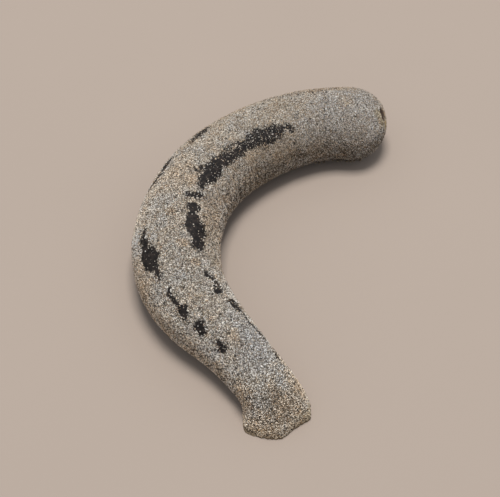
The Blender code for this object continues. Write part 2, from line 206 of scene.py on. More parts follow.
# Stains on the sand, with a few patches of painted shade: way, across, radius in millimetres, how warm, how
# cool and how dark
STAINS = (
    (20, -6, 8, -0.2, 0.7, 0.10),
    # from here to way 50, along the far side's rim over the rear: painted shade, with some real warm
    # staining
    (15, 8.5, 3.5, 0.2, 0, 0.40),
    (24, 10, 5, 0.3, 0, 0.50),
    (33, 10, 5, 0.5, 0, 0.50),
    (42, 9.5, 6, 0.35, 0, 0.45),
    (50, 10.5, 5, 0.25, 0, 0.60),
    # in the crease at the waist: painted shade
    (60, -25, 6, 0, 0, 0.40),
    (76, -14, 6, -0.1, 0, 0.22),
    (91, -4, 4.5, -0.3, 0.5, 0.22),
    (104, -2.5, 5, -0.3, 0.3, 0.10),
    (106.5, -18.5, 3, -0.4, 0.4, 0.35),
    (111.5, -22, 4, 1, 0, 0.40),
    (114, 3, 8, 0.5, 0, 0),
    (117.6, -2.4, 3.4, 0.7, 0, 0),
    (120.5, -10, 6, -0.5, 0.5, 0.18),
    (128, 3, 4.5, -0.4, 0.4, 0.12),
    (135, 1.4, 2.2, 0.8, 0, 0.05),
    (141, 5, 3.4, -0.5, 0.8, 0),
    (151.6, -3, 3.1, 1.2, 0, 0.08),
    (146, 15, 7, -0.4, 0.7, 0),
    (162, -5.3, 2.4, 1, 0, 0),
    (160, 20, 5, 0.6, 0, 0.25),
    (152, 21, 5, 0.2, 0, 0.25),
    (167, 3, 4, -0.4, 0.5, 0.18),
    (174, -4, 6, -0.2, 0.4, 0.05),
    (181.3, -8, 1.5, 0.8, 0, 0),
    (187.8, 3.6, 1.6, 0.6, 0, 0),
    (189.6, 9.8, 1.3, 1, 0, 0.10),
    (198, 1.5, 3, 0.45, 0, 0.05),
    (205, -2, 9, -0.2, 0.5, -0.10),
    (218.5, 6, 3.4, -0.4, 0.3, 0.35),
    (220.5, -10, 3.6, 0.5, 0, -0.1),
    (7.5, 3.2, 3.4, 0.5, 0, 0.70),
    (36, 5, 6, -0.1, 0, 0.20),
    (79, -7, 6, -0.3, 0.5, 0),
    (88, 1, 7, 0.2, 0, -0.20),
    (126, -2, 4, -0.2, 0.2, 0.22),
    (162, 0, 3.6, 0, 0.2, 0.30),
    (174, -15, 4, 0, 0.2, 0.35),
    (188, -13, 4.6, -0.3, 0.3, 0.75),
    (199, -13, 4.6, -0.3, 0.3, 0.75),
    (208, -12.5, 4, 0, 0, 0.45),
    (188, 19, 6, 0.2, 0, -0.20),
    (215, 14, 6, 0.6, 0, 0.25),
    (214, -10.5, 4.5, 0.5, 0, 0.10),
    (220.8, 3, 4.5, 0.2, 0, 0.40),
)

# Soft hollows in the skin: way, across, radius and depth in millimetres
HOLLOWS = (
    (60.5, -24, 5.5, 0.8),
    (84, -22, 3.5, 0.4),
    (98, -19.5, 3, 0.4),
    (108.5, -23, 3, 0.5),
    (115.5, -20, 2.6, 0.5),
    (208, 15.5, 4, 0.5),
    (216, 4, 3, 0.35),
)

# The vent, a slit up the tail's end
VENT_WAY = 0.0090
VENT_ACROSS = 0.0005
VENT_HALF_LENGTH = 0.0030
VENT_HALF_WIDTH = 0.0015
VENT_DEPTH = 0.0013
VENT_SLANT = math.radians(45)

# The olive growth round the vent: way, across and radius in millimetres, strength
VENT_GROWTH = (
    (12, -2, 3, 0.45),
    (8.2, -3, 2.8, 0.50),
    (3.8, -1.2, 2.8, 0.75),
)


# Noises that are summed: (strength, size in metres, offset)
LUMPS = ((1.0, 0.0085, 3.1), (0.8, 0.0036, 6.1))
MOTTLE = ((1.0, 0.0058, 1.3), (0.9, 0.0021, 2.6))
RAGGED = ((0.0010, 0.0022, 0.0), (0.0010, 0.0008, 7.3))

EDGE_REACH = 0.0008  # how far the bare streaks reach beyond their chains
OUTSIDE = -0.02  # depth that stands for far outside every streak
POLE_GAP = 3e-4  # nearest to a pole that a direction outwards is worked out
ARC_START = 2e-4
ARC_ROWS = 180
ARC_COLUMNS = 97


def srgb(*levels):
    """The linear colour of 0 to 255 screen levels."""
    shares = [level / 255 for level in levels]
    return tuple(s / 12.92 if s <= 0.04045 else ((s + 0.055) / 1.055) ** 2.4 for s in shares)


# ---------------- the settings a user may change


def size_setting(name, description, default, least=0.0):
    return FloatProperty(
        name=name, description=description, default=default, min=least, subtype="DISTANCE", unit="LENGTH"
    )


def colour_setting(name, description, *levels):
    return FloatVectorProperty(
        name=name, description=description, default=srgb(*levels), subtype="COLOR"
    )


class SkinSettings(PropertyGroup):
    coat_depth: size_setting(
        "Coat depth", "How far the skin lies inside the surface of its coat of sand", 0.00030
    )
    crease_depth: size_setting(
        "Crease depth", "Depth of the folds on the inner side of the bend", 0.00042
    )
    flesh: colour_setting("Flesh", "Colour of the bare skin", 18, 15, 15)
    worn_flesh: colour_setting("Worn flesh", "Colour of the bare skin on its folds", 52, 45, 42)
    silt: colour_setting(
        "Silt", "Colour of the fine silt that fills the coat between its grains", 152, 142, 128
    )


class CoatSettings(PropertyGroup):
    grain_size: size_setting("Grain size", "Middle size of the coarse grains", 0.00043, 0.0002)
    spacing: size_setting("Spacing", "Distance between the places of coarse grains", 0.00036, 0.0003)
    fine_size: size_setting(
        "Fine grain size", "Middle size of the fine grains between the coarse ones", 0.00025, 0.0001
    )
    fine_spacing: size_setting(
        "Fine spacing", "Distance between the places of fine grains", 0.00050, 0.0003
    )
    flake_size: size_setting(
        "Flake size", "Middle size of the large flakes of shell and coral", 0.00074, 0.0003
    )
    flake_spacing: size_setting(
        "Flake spacing", "Distance between the places of large flakes", 0.0056, 0.002
    )


class FeetSettings(PropertyGroup):
    pitch: size_setting("Pitch", "Distance between the tube feet of one row", 0.0023, 0.001)
    sucker_radius: size_setting(
        "Sucker radius", "Radius of the flat end of a tube foot", 0.00062, 0.0002
    )
    papillae: IntProperty(
        name="Papillae",
        description="How many small papillae poke through the sand on the back and the flanks",
        default=320,
        min=0,
    )


class MouthSettings(PropertyGroup):
    mouth_radius: size_setting(
        "Mouth radius", "Radius of the opening in the middle of the oral disc", 0.0011, 0.0002
    )
    shield_radius: size_setting(
        "Shield radius", "Radius of the lobed shield at the end of an outer tentacle", 0.00145, 0.0005
    )


class StageSettings(PropertyGroup):
    floor_colour: colour_setting("Floor", "Colour of the plain floor", 165, 152, 142)
    key_power: FloatProperty(
        name="Key light",
        description="Power of the soft light overhead",
        default=18.8,
        min=0.0,
        subtype="POWER",
        unit="POWER",
    )
    sky_strength: FloatProperty(
        name="Sky", description="Strength of the even light from all round", default=0.50, min=0.0
    )
    elevation: FloatProperty(
        name="Camera elevation",
        description="Angle of the camera above the floor",
        default=math.radians(50),
        subtype="ANGLE",
    )
    distance: size_setting("Camera distance", "From the camera to the middle of the view", 0.6, 0.1)


# ---------------- the shape of the body


def eased(share):
    """0 to 1 with a level start and end."""
    share = np.clip(share, 0.0, 1.0)
    return share * share * (3 - 2 * share)


def rise(value, start, length):
    """0 up to a start, and from there to 1 over a length."""
    return eased((value - start) / length)


def fall(value, end, length):
    """1 up to a length before an end, and from there to 0 at the end."""
    return eased((end - value) / length)


def near(value, middle, reach):
    """1 in a middle, and 0 from a reach to either side of it."""
    return eased(1 - np.abs(value - middle) / reach)


def blend(start, end, share):
    return start + (end - start) * share


def through(stations, place):
    """The smooth curve through (place, value) stations, read at places."""
    places, values = np.array(stations).T
    slopes = np.gradient(values, places)
    place = np.clip(place, places[0], places[-1])
    index = np.clip(np.searchsorted(places, place) - 1, 0, len(places) - 2)
    span = places[index + 1] - places[index]
    t = (place - places[index]) / span
    start = (2 * t**3 - 3 * t**2 + 1) * values[index]
    end = (3 * t**2 - 2 * t**3) * values[index + 1]
    leaving = (t**3 - 2 * t**2 + t) * span * slopes[index]
    arriving = (t**3 - t**2) * span * slopes[index + 1]
    return start + end + leaving + arriving


def heading(station):
    """Compass heading of the route at stations, from +X to the left."""
    turned = sum(turn * rise(station, start, end - start) for start, end, turn in BENDS)
    return TAIL_HEADING + np.radians(turned)


def walk_route():
    """Stations along the route and the floor point under each."""
    stations = np.arange(0, NECK + ROUTE_STEP, ROUTE_STEP)
    steps = heading((stations[:-1] + stations[1:]) / 2)
    x = TAIL_TIP[0] + ROUTE_STEP * np.concatenate([[0], np.cumsum(np.cos(steps))])
    y = TAIL_TIP[1] + ROUTE_STEP * np.concatenate([[0], np.cumsum(np.sin(steps))])
    return stations, x, y


ROUTE = walk_route()


def station_of(way):
    """The station along the route that a way on the back lies over."""
    in_cap = CAP_LENGTH * (1 - np.cos(np.clip(way / CAP_WAY, 0, 1) * math.pi / 2))
    return np.clip(np.where(way < CAP_WAY, in_cap, way - CAP_WAY + CAP_LENGTH), 0, NECK)


def on_floor(station, across, ahead):
    """Floor points beside and ahead of the route at stations."""
    course = heading(station)
    stations, x, y = ROUTE
    x = np.interp(station, stations, x) + np.sin(course) * across + np.cos(course) * ahead
    y = np.interp(station, stations, y) - np.cos(course) * across + np.sin(course) * ahead
    return x, y


def rounded(around, half_width, above, below, back_power):
    """(across, up) on a superellipse at a share of a turn, measured from its widest line."""
    side, up = np.sin(TURN * around), np.cos(TURN * around)
    power = 2 / np.where(up >= 0, back_power, SOLE_POWER)
    across = np.sign(side) * np.abs(side) ** power * half_width
    return across, np.sign(up) * np.abs(up) ** power * np.where(up >= 0, above, below)


def side_of(around):
    """A share of a turn counted from the top, to the left below zero and to the right above it."""
    return (np.asarray(around) + 0.5) % 1 - 0.5


def cornered(across, up, around, spread):
    """The lip's outline with its corners drawn out from its middle, by a share of their reach."""
    reach = 0.0
    for place, full, half_width in LIP_CORNERS:
        reach = reach + full * np.maximum(0, 1 - np.abs(side_of(around - place)) / half_width)
    further = 1 + spread * reach / np.maximum(np.hypot(across, up), MERGE)
    return across * further, up * further


def section_sizes(station):
    """Half width, height above and below the widest line, and that line's height over the floor."""
    height = through(HEIGHTS, station)
    inside = np.clip((CAP_LENGTH - station) / CAP_LENGTH, 0, 1)
    kept = np.sqrt(np.clip(1 - inside**CAP_POWER, 0, 1))
    above = BACK_SHARE * height
    below = height - above
    return through(HALF_WIDTHS, station) * kept, above * kept, below * kept, SOLE_LIFT + below


def trunk_place(way, around):
    """Places on the tail and the body, up to the neck."""
    station = station_of(way)
    half_width, above, below, widest = section_sizes(station)
    across, up = rounded(around, half_width, above, below, BACK_POWER)
    x, y = on_floor(station, across, 0)
    return np.stack([x, y, widest + up], -1)


def head_place(way, around):
    """Places on the head, whose sections tip over about the throat from upright to flat."""
    share = np.clip((way - NECK_WAY) / (LIP_WAY - NECK_WAY), 0, 1)
    half_width, above, below, _ = section_sizes(NECK)
    spread = rise(share, FLARE_START, 1 - FLARE_START)
    flare = LIP_FLARE * spread
    length = blend(above + below, LIP_LENGTH, share) + flare
    half_width = blend(half_width, LIP_HALF_WIDTH, share) + flare
    ahead = length * blend(BACK_SHARE, LIP_SHARE, share)
    power = blend(BACK_POWER, LIP_POWER, share)
    across, up = rounded(around, half_width, ahead, length - ahead, power)
    middle = ahead - length / 2
    across, up = cornered(across, up - middle, around, spread)
    up = up + middle + length - ahead
    tip = math.pi / 2 * share
    x, y = on_floor(NECK, across, np.sin(tip) * up + THROAT_ADVANCE * share)
    return np.stack([x, y, np.cos(tip) * up + SOLE_LIFT * (1 - share)], -1)


def under_lip_place(way, around):
    """Places under the lip: on its rim, up the wall of the recess and over its roof."""
    ways, drawn_in, height, left = (np.array(column) for column in zip(*UNDER_LIP))
    drawn_in, height, left = (np.interp(way, ways, v) for v in (drawn_in, height, left))
    ahead = FULL_LENGTH * LIP_SHARE
    behind = FULL_LENGTH - ahead
    half_width = FULL_HALF_WIDTH - drawn_in
    across, up = rounded(around, half_width, ahead - drawn_in, behind - drawn_in, LIP_POWER)
    across, up = cornered(across, up, around, np.clip(1 - drawn_in / LIP_RIM, 0, 1))
    x, y = on_floor(NECK, across * left, THROAT_ADVANCE + behind + up * left)
    return np.stack([x, y, height], -1)


def outer_place(way, around):
    """Places on the body's outer surface, that of the solids."""
    way, around = np.broadcast_arrays(way, around)
    places = trunk_place(np.minimum(way, NECK_WAY), around)
    head = way > NECK_WAY
    places[head] = head_place(way[head], around[head])
    under = way > LIP_WAY
    places[under] = under_lip_place(way[under], around[under])
    return places


def outer_direction(way, around):
    """The directions outwards from the body's outer surface."""
    step, turn_step = 2e-5, 2e-4
    way = np.clip(way, POLE_GAP, END_WAY - POLE_GAP)
    ahead = outer_place(way + step, around) - outer_place(way - step, around)
    aside = outer_place(way, around + turn_step) - outer_place(way, around - turn_step)
    outwards = np.cross(aside, ahead)
    return outwards / np.maximum(np.linalg.norm(outwards, axis=-1, keepdims=True), 1e-12)


def arc_table():
    """Distances over the skin from the midline, by way and by share of a turn."""
    ways = np.linspace(ARC_START, LIP_WAY, ARC_ROWS)
    shares = np.linspace(-0.5, 0.5, ARC_COLUMNS)
    places = outer_place(ways[:, None], shares[None, :])
    steps = np.linalg.norm(np.diff(places, axis=1), axis=-1)
    arcs = np.concatenate([np.zeros((ARC_ROWS, 1)), np.cumsum(steps, axis=1)], axis=1)
    return ways, shares, arcs - arcs[:, [ARC_COLUMNS // 2]]


ARCS = arc_table()


def across_of(way, around):
    """Distance over the skin from the midline of the back, to the right, at shares of a turn."""
    ways, _, arcs = ARCS
    row = np.clip(np.interp(way, ways, np.arange(ARC_ROWS)), 0, ARC_ROWS - 1.001)
    column = np.clip((side_of(around) + 0.5) * (ARC_COLUMNS - 1), 0, ARC_COLUMNS - 1.001)
    i, j = row.astype(int), column.astype(int)
    low = blend(arcs[i, j], arcs[i, j + 1], column - j)
    high = blend(arcs[i + 1, j], arcs[i + 1, j + 1], column - j)
    return blend(low, high, row - i)


class Spots(NamedTuple):
    """Spots on the body's outer surface: an entry in each field for each of them."""

    way: np.ndarray
    around: np.ndarray
    side: np.ndarray
    across: np.ndarray
    up: np.ndarray
    places: np.ndarray
    outwards: np.ndarray

    def only(self, kept):
        return Spots(*(values[kept] for values in self))

    def away(self, way, across):
        """Their distances over the skin from one place."""
        return np.hypot(self.way - way, self.across - across)


def spots_at(way, around):
    places, outwards = outer_place(way, around), outer_direction(way, around)
    across = across_of(way, around)
    return Spots(way, around, side_of(around), across, outwards[:, 2], places, outwards)


# ---------------- the markings


def noise_at(places, size, offset=0.0):
    """Smooth noise from about -1 to 1 at places, with lumps of a size."""
    return np.array([noise.noise(place) for place in (places / size + offset).tolist()])


def levelled(*columns):
    """Places at no height, from columns of x and y."""
    flat = np.column_stack(columns)
    return np.column_stack([flat, np.zeros(len(flat))])


def layered_noise(places, layers):
    """The sum of noises, given by their strength, size and offset."""
    return sum(strength * noise_at(places, size, offset) for strength, size, offset in layers)


def chain_depth(spots, chains):
    """How far inside the nearest of the chains each spot lies, and below zero outside them."""
    depth = np.full(spots.way.shape, OUTSIDE)
    for chain in chains:
        links = np.array(chain) * MM
        for start, end in zip(links, links[1:]):
            (ahead, aside), course = start[:2], end[:2] - start[:2]
            share = (spots.way - ahead) * course[0] + (spots.across - aside) * course[1]
            share = np.clip(share / (course @ course), 0, 1)
            away = spots.away(ahead + share * course[0], aside + share * course[1])
            depth = np.maximum(depth, blend(start[2], end[2], share) - away)
    return depth


def bare_depth(spots):
    """How far inside the bare streaks each spot lies, in metres, and below zero outside them."""
    return chain_depth(spots, BARE_STREAKS) + EDGE_REACH + layered_noise(spots.places, RAGGED)


def vent_frame(spots):
    """Distances along and across the vent's slit, as shares of its half sizes."""
    ahead, aside = spots.way - VENT_WAY, spots.across - VENT_ACROSS
    along = ahead * math.cos(VENT_SLANT) + aside * math.sin(VENT_SLANT)
    beside = aside * math.cos(VENT_SLANT) - ahead * math.sin(VENT_SLANT)
    return along / VENT_HALF_LENGTH, beside / VENT_HALF_WIDTH


def vent_reach(spots):
    """1 on the edge of the vent's slit, less inside it."""
    return np.hypot(*vent_frame(spots))


def in_front(way):
    """0 over the rear, where fine silt evens the sand out, to 1 from the bend on."""
    return rise(way, 0.070, 0.045)


def coarse_front(way):
    """0 over the rear and the start of the bend to 1 where the coat is coarse and uneven."""
    return rise(way, 0.080, 0.070)


def on_face(way):
    """0 on the head's back to 1 on the face that slopes down to the lip."""
    return rise(way, 0.2135, 0.010)


def on_lip(way):
    """0 on the face to 1 on the last millimetres before the lip's edge, where the sand is painted lighter
    to lift the shade on the lip's steep wall.
    """
    return rise(way, 0.2228, 0.0026) * (way < RIM_WAY)


def on_flank(spots):
    """0 on the back to 1 where the skin turns down."""
    return fall(spots.up, 0.5, 0.6)


def round_marks(table, spots):
    """For each row of a table, how many of its radii away the spots lie, and its last values."""
    for ahead, aside, radius, *values in table:
        yield spots.away(MM * ahead, MM * aside) / (MM * radius), values


def stained(spots):
    """What the stains add to how warm, how cool and how dirty the sand is."""
    added = np.zeros((3, len(spots.way)))
    edges = 1 + 0.45 * noise_at(spots.places, 0.0030, 8.2)
    for away, strengths in round_marks(STAINS, spots):
        # What the stains and the patches of painted shade add to how warm, how cool and how dark the sand
        # is.
        added += np.outer(strengths, eased(1.25 - away / edges))
    return added


def region_tints(spots):
    """How warm, how cool and how dark the sand is at each spot, each from 0 to 1: dark by dirt, and by
    painted shade on the flanks, the far rim and inside the bend.
    """
    way, side, up = spots.way, spots.side, spots.up
    front, flank = in_front(way), fall(up, 0.55, 0.75)
    inner = near(side, -0.165, 0.12)
    along_bend = rise(way, 0.008, 0.02) * fall(way, 0.190, 0.03)
    far_rim_shade = rise(side, 0.045, 0.07) * fall(way, 0.125, 0.03)
    far_down = rise(side, 0.075, 0.05) * fall(way, 0.085, 0.02)
    flank_dirt_and_shade = blend(blend(0.80, 0.34, rise(way, 0.08, 0.08)), 0.05, rise(way, 0.165, 0.02))
    speckled = 1 + 0.7 * np.maximum(flank, 0.5 * front)
    regions = (  # how much warmer, cooler and darker the sand is there, darker by dirt and on some rows by painted shade, and how strongly that holds
        (0.42, -0.60, 0, layered_noise(spots.places, LUMPS)),
        (0, 0, 0.24, layered_noise(spots.places, MOTTLE) * speckled),
        (0, 0, 1, blend(0.24, 0.04, front)),  # everywhere, and least in front
        # painted shade on the flanks, strongest on the rear's, with some dirt
        (0, 0, 1, flank_dirt_and_shade * flank),
        (0.80, 0, 0, flank * rise(way, 0.11, 0.04)),  # the front's flanks
        (0.50, 0, 0.16, on_face(way)),
        # less dark on the lip's steep wall: painted light that lifts its shade
        (0, 0, -0.45, on_lip(way)),
        (0.30, 0, 0, near(way, 0.122, 0.042) * rise(up, -0.1, 0.6)),  # the back of the bend
        (0, 0.80, 0, near(way, 0.204, 0.024) * near(side, -0.05, 0.16)),  # the head's back
        (0, 0.75, 0, fall(way, 0.065, 0.030) * blend(0.6, 1.0, rise(up, 0.1, 0.6))),  # the rear
        (0, 0.50, 0, fall(up, 0.05, 0.4) * fall(way, 0.080, 0.03)),  # the rear's lower flanks
        (0, 0.45, 0, inner * fall(way, 0.140, 0.03)),
        # darker along the inside of the bend: painted shade
        (0, 0, 1, inner * along_bend * blend(0.36, 0.58, rise(way, 0.050, 0.02))),
        # darker along the far side's rim over the rear: painted shade
        (0, 0, 1, far_rim_shade * blend(0.6, 1.0, far_down)),
    )
    tints = stained(spots)
    for *tint, strength in regions:
        tints += np.outer(tint, strength)
    return np.clip(tints, 0, 1)


def olive_tint(spots):
    """The olive-yellow growth round the vent and on the left of the lip's front, 0 to 1."""
    vent = 0.0
    for away, (strength,) in round_marks(VENT_GROWTH, spots):
        vent = np.maximum(vent, strength * eased(1.3 - away))
    lip = rise(spots.way, LIP_WAY - 0.0045, 0.003) * (0.35 + 0.65 * near(spots.side, -0.10, 0.12))
    return np.clip(vent + 0.42 * lip * (spots.way < RIM_WAY), 0, 1)


# ---------------- meshes


def link(mesh, name, material, smooth=True):
    """A piece of the animal in its material, riding on its body."""
    if smooth:
        mesh.shade_smooth()
    mesh.materials.append(material)
    piece = bpy.data.objects.new(name, mesh)
    bpy.context.scene.collection.objects.link(piece)
    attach(piece, "root")
    return piece


def mesh_of(bm, name):
    mesh = bpy.data.meshes.new(name)
    bm.to_mesh(mesh)
    bm.free()
    return mesh


def paint(mesh, name, *channels):
    """A colour attribute on the mesh's points from up to four arrays."""
    layer = mesh.color_attributes.new(name, "FLOAT_COLOR", "POINT")
    colours = np.zeros((len(mesh.vertices), 4), np.float32)
    for channel, values in enumerate(channels):
        colours[:, channel] = values
    layer.data.foreach_set("color", colours.ravel())


def close(bm):
    """Merges the points that meet along seams and at poles, and turns the faces outwards."""
    bmesh.ops.remove_doubles(bm, verts=bm.verts, dist=MERGE)
    bmesh.ops.recalc_face_normals(bm, faces=bm.faces)


def spun(profile, sides):
    """A closed shape turned from (radius, height) points, the first and last on the axis."""
    bm = bmesh.new()
    points = [bm.verts.new((radius, 0, height)) for radius, height in profile]
    lines = [bm.edges.new(pair) for pair in zip(points, points[1:])]
    middle, axis = (0, 0, 0), (0, 0, 1)
    bmesh.ops.spin(
        bm, geom=points + lines, cent=middle, axis=axis, angle=TURN, steps=sides, use_merge=True
    )
    close(bm)
    return bm


def ball(sides):
    """A rough ball of few faces: two poles and one ring."""
    bm = bmesh.new()
    bmesh.ops.create_uvsphere(bm, u_segments=sides, v_segments=2, radius=1.0)
    return bm


def template(bm):
    """Points and triangles of a small shape, which copies are stamped from."""
    bmesh.ops.triangulate(bm, faces=bm.faces)
    bmesh.ops.recalc_face_normals(bm, faces=bm.faces)
    bm.verts.index_update()
    points = np.array([vert.co for vert in bm.verts])
    faces = np.array([[vert.index for vert in face.verts] for face in bm.faces])
    bm.free()
    return points, faces


def joined(name, copies, faces, way, around, patch):
    """One mesh from copies, (count, points, 3), of a template, with their patches on the bake's map.

    Each copy's patch lies about its root's place on the skin's own unwrap, just inside the map.
    """
    copies = np.clip(copies, LOWEST, HIGHEST)
    count, size = copies.shape[:2]
    corners = (faces[None] + size * np.arange(count)[:, None, None]).ravel()
    mesh = bpy.data.meshes.new(name)
    mesh.vertices.add(count * size)
    mesh.vertices.foreach_set("co", copies.astype(np.float32).ravel())
    mesh.loops.add(len(corners))
    mesh.loops.foreach_set("vertex_index", corners.astype(np.int32))
    mesh.polygons.add(len(corners) // 3)
    mesh.polygons.foreach_set("loop_start", np.arange(0, len(corners), 3, dtype=np.int32))
    mesh.update(calc_edges=True)
    roots = np.stack([way / END_WAY, (around + 0.5) % 1], -1) * 0.98 + 0.01
    spread = (roots[:, None, :] + patch[None]).reshape(-1, 2)[corners]
    layer = mesh.uv_layers.new(name="OFBake", do_init=False)
    layer.uv.foreach_set("vector", spread.astype(np.float32).ravel())
    return mesh


def tree_of(places):
    """A tree to search for the places that lie near another."""
    tree = kdtree.KDTree(len(places))
    for index, place in enumerate(places):
        tree.insert(place, index)
    tree.balance()
    return tree


def turned(shapes, outwards, draws):
    """Shapes, (count, points, 3), stood up along directions and turned about them at random."""
    spin = draws.uniform(0, TURN, len(outwards))
    helper = np.where(np.abs(outwards[:, 2:]) < 0.9, [[0, 0, 1.0]], [[1.0, 0, 0]])
    first = np.cross(helper, outwards)
    first /= np.linalg.norm(first, axis=1, keepdims=True)
    second = np.cross(outwards, first)
    cos, sin = np.cos(spin)[:, None], np.sin(spin)[:, None]
    axes = np.stack([first * cos + second * sin, second * cos - first * sin, outwards], 1)
    return np.einsum("nkj,nji->nki", shapes, axes)


# ---------------- materials


TINTS = {
    "Warm": (1.08, 0.97, 0.85),
    "Cool": (0.95, 1.0, 1.09),
    # darkens for real dirt, and as painted shade on the flanks, the far rim and inside the bend
    "Dirt": (0.72, 0.66, 0.59),
    "Olive": (0.80, 0.70, 0.40),
}
FLESHES = {  # roughness, gloss, scale of the folds, their depth, colour, colour on the folds
    "tube_foot_skin": (0.55, 0.4, 1700.0, 0.00012, srgb(40, 32, 28), srgb(84, 70, 58)),
    "papilla_skin": (0.55, 0.4, 2400.0, 0.00010, srgb(28, 24, 24), srgb(66, 56, 50)),
    "oral_disc_flesh": (0.38, 0.5, 1300.0, 0.00016, srgb(22, 18, 18), srgb(64, 52, 46)),
    "tentacle_flesh": (0.38, 0.5, 1300.0, 0.00016, srgb(30, 24, 20), srgb(104, 88, 70)),
}
SKIN_FOLDS = 620.0  # scale
SKIN_BUMP = 0.00022
SILT_SPECKS = 3600.0  # scale
SILT_PITS = 0.28  # how light it is between its specks, as a share of its colour
SILT_ROUGHNESS = 0.95
BARE_ROUGHNESS = 0.58
CRYSTALS = 6500.0  # scale
CRYSTAL_TONE = 0.14  # the most that they are lighter or darker than their grain
CRYSTAL_BUMP = 0.00004
SUCKER_COLOUR = srgb(150, 134, 112)
SUCKER_FADE = (0.0008, 0.0002)  # heights at which it begins and is full
# dark brown of the vent's slit, its own colour and partly painted shade, also used for the painted shadow
# along the lip's edge
OPENING_AND_SHADE_COLOUR = srgb(62, 50, 44)


def add(tree, kind, inputs=None, **settings):
    """A node with its settings, whose inputs are values or sockets to link."""
    made = tree.nodes.new(kind)
    for name, value in settings.items():
        setattr(made, name, value)
    for socket, value in (inputs or {}).items():
        if isinstance(value, bpy.types.NodeSocket):
            tree.links.new(value, made.inputs[socket])
        else:
            made.inputs[socket].default_value = value
    return made


def mix(tree, factor, first, second, blend_type="MIX"):
    """The colour between two colours, each a socket or red, green and blue."""
    ends = [c if isinstance(c, bpy.types.NodeSocket) else (*c, 1) for c in (first, second)]
    inputs = {0: factor, 6: ends[0], 7: ends[1]}
    return add(tree, "ShaderNodeMix", inputs, data_type="RGBA", blend_type=blend_type).outputs[2]


def ranged(tree, value, low, high, to_low=0.0, to_high=1.0):
    """The value, brought from one range to another and held there."""
    inputs = {0: value, 1: low, 2: high, 3: to_low, 4: to_high}
    return add(tree, "ShaderNodeMapRange", inputs).outputs[0]


def calculated(tree, operation, first, second):
    return add(tree, "ShaderNodeMath", {0: first, 1: second}, operation=operation).outputs[0]


def shore_tint(tree, given):
    """Tints a colour warm, cool, darker for dirt and for painted shade, and olive, by masks. Skin and sand
    share it.
    """
    colour = given["Color"]
    for mask, tint in TINTS.items():
        colour = mix(tree, given[mask], colour, mix(tree, 1.0, colour, tint, "MULTIPLY"))
    return {"Color": colour}


def speckle(tree, given):
    """Small cells of uneven lightness, as fine sand or a grain's own crystals have."""
    cells = add(tree, "ShaderNodeTexVoronoi", {name: given[name] for name in ("Vector", "Scale")})
    level = add(tree, "ShaderNodeSeparateColor", {0: cells.outputs["Color"]})
    return {"Value": level.outputs[0], "Height": cells.outputs["Distance"]}


def hide(tree, given):
    """Leathery wrinkles and pores: a mask that is 1 on the folds, and their height."""
    inputs = {"Vector": given["Vector"], "Scale": given["Scale"], "Detail": 5.0, "Roughness": 0.62}
    lumps = add(tree, "ShaderNodeTexNoise", inputs).outputs[0]
    inputs = {"Vector": given["Vector"], "Scale": calculated(tree, "MULTIPLY", given["Scale"], 2.3)}
    pores = add(tree, "ShaderNodeTexVoronoi", inputs, feature="SMOOTH_F1").outputs["Distance"]
    height = calculated(tree, "ADD", lumps, calculated(tree, "MULTIPLY", pores, 0.6))
    return {"Folds": ranged(tree, lumps, 0.44, 0.68), "Height": height}


GROUPS = {  # what fills each shared group, its inputs with their defaults, and its outputs
    "Shore tint": (
        shore_tint,
        {"Color": ("Color", (1, 1, 1, 1)), **{mask: ("Float", 0.0) for mask in TINTS}},
        {"Color": "Color"},
    ),
    "Speckle": (
        speckle,
        {"Vector": ("Vector", (0, 0, 0)), "Scale": ("Float", 1000.0)},
        {"Value": "Float", "Height": "Float"},
    ),
    "Hide": (
        hide,
        {"Vector": ("Vector", (0, 0, 0)), "Scale": ("Float", 500.0)},
        {"Folds": "Float", "Height": "Float"},
    ),
}


def new_group(name):
    """A shared node group with its named sockets, filled."""
    fill, inputs, outputs = GROUPS[name]
    tree = bpy.data.node_groups.new(name, "ShaderNodeTree")
    for label, (kind, default) in inputs.items():
        socket = tree.interface.new_socket(label, in_out="INPUT", socket_type="NodeSocket" + kind)
        socket.default_value = default
    for label, kind in outputs.items():
        tree.interface.new_socket(label, in_out="OUTPUT", socket_type="NodeSocket" + kind)
    given = tree.nodes.new("NodeGroupInput").outputs
    result = tree.nodes.new("NodeGroupOutput").inputs
    for label, value in fill(tree, given).items():
        tree.links.new(value, result[label])
    return tree


def use_group(tree, name, **inputs):
    """The outputs of a shared group, which is built once."""
    group = bpy.data.node_groups.get(name) or new_group(name)
    return add(tree, "ShaderNodeGroup", inputs, node_tree=group).outputs


def new_material(name, roughness, specular):
    """A material with its node tree, its shader's inputs and its Object coordinates."""
    material = bpy.data.materials.new(name)
    material.use_nodes = True
    tree = material.node_tree
    shader = tree.nodes["Principled BSDF"].inputs
    shader["Roughness"].default_value = roughness
    shader["Specular IOR Level"].default_value = specular
    return material, tree, shader, add(tree, "ShaderNodeTexCoord").outputs["Object"]


def masks_of(tree, attribute):
    """The four channels of a colour attribute."""
    read = add(tree, "ShaderNodeAttribute", attribute_name=attribute)
    split = add(tree, "ShaderNodeSeparateColor", {0: read.outputs["Color"]}).outputs
    return split[0], split[1], split[2], read.outputs["Alpha"]


def bump(tree, shader, height, distance):
    made = add(tree, "ShaderNodeBump", {"Height": height, "Distance": distance})
    tree.links.new(made.outputs["Normal"], shader["Normal"])


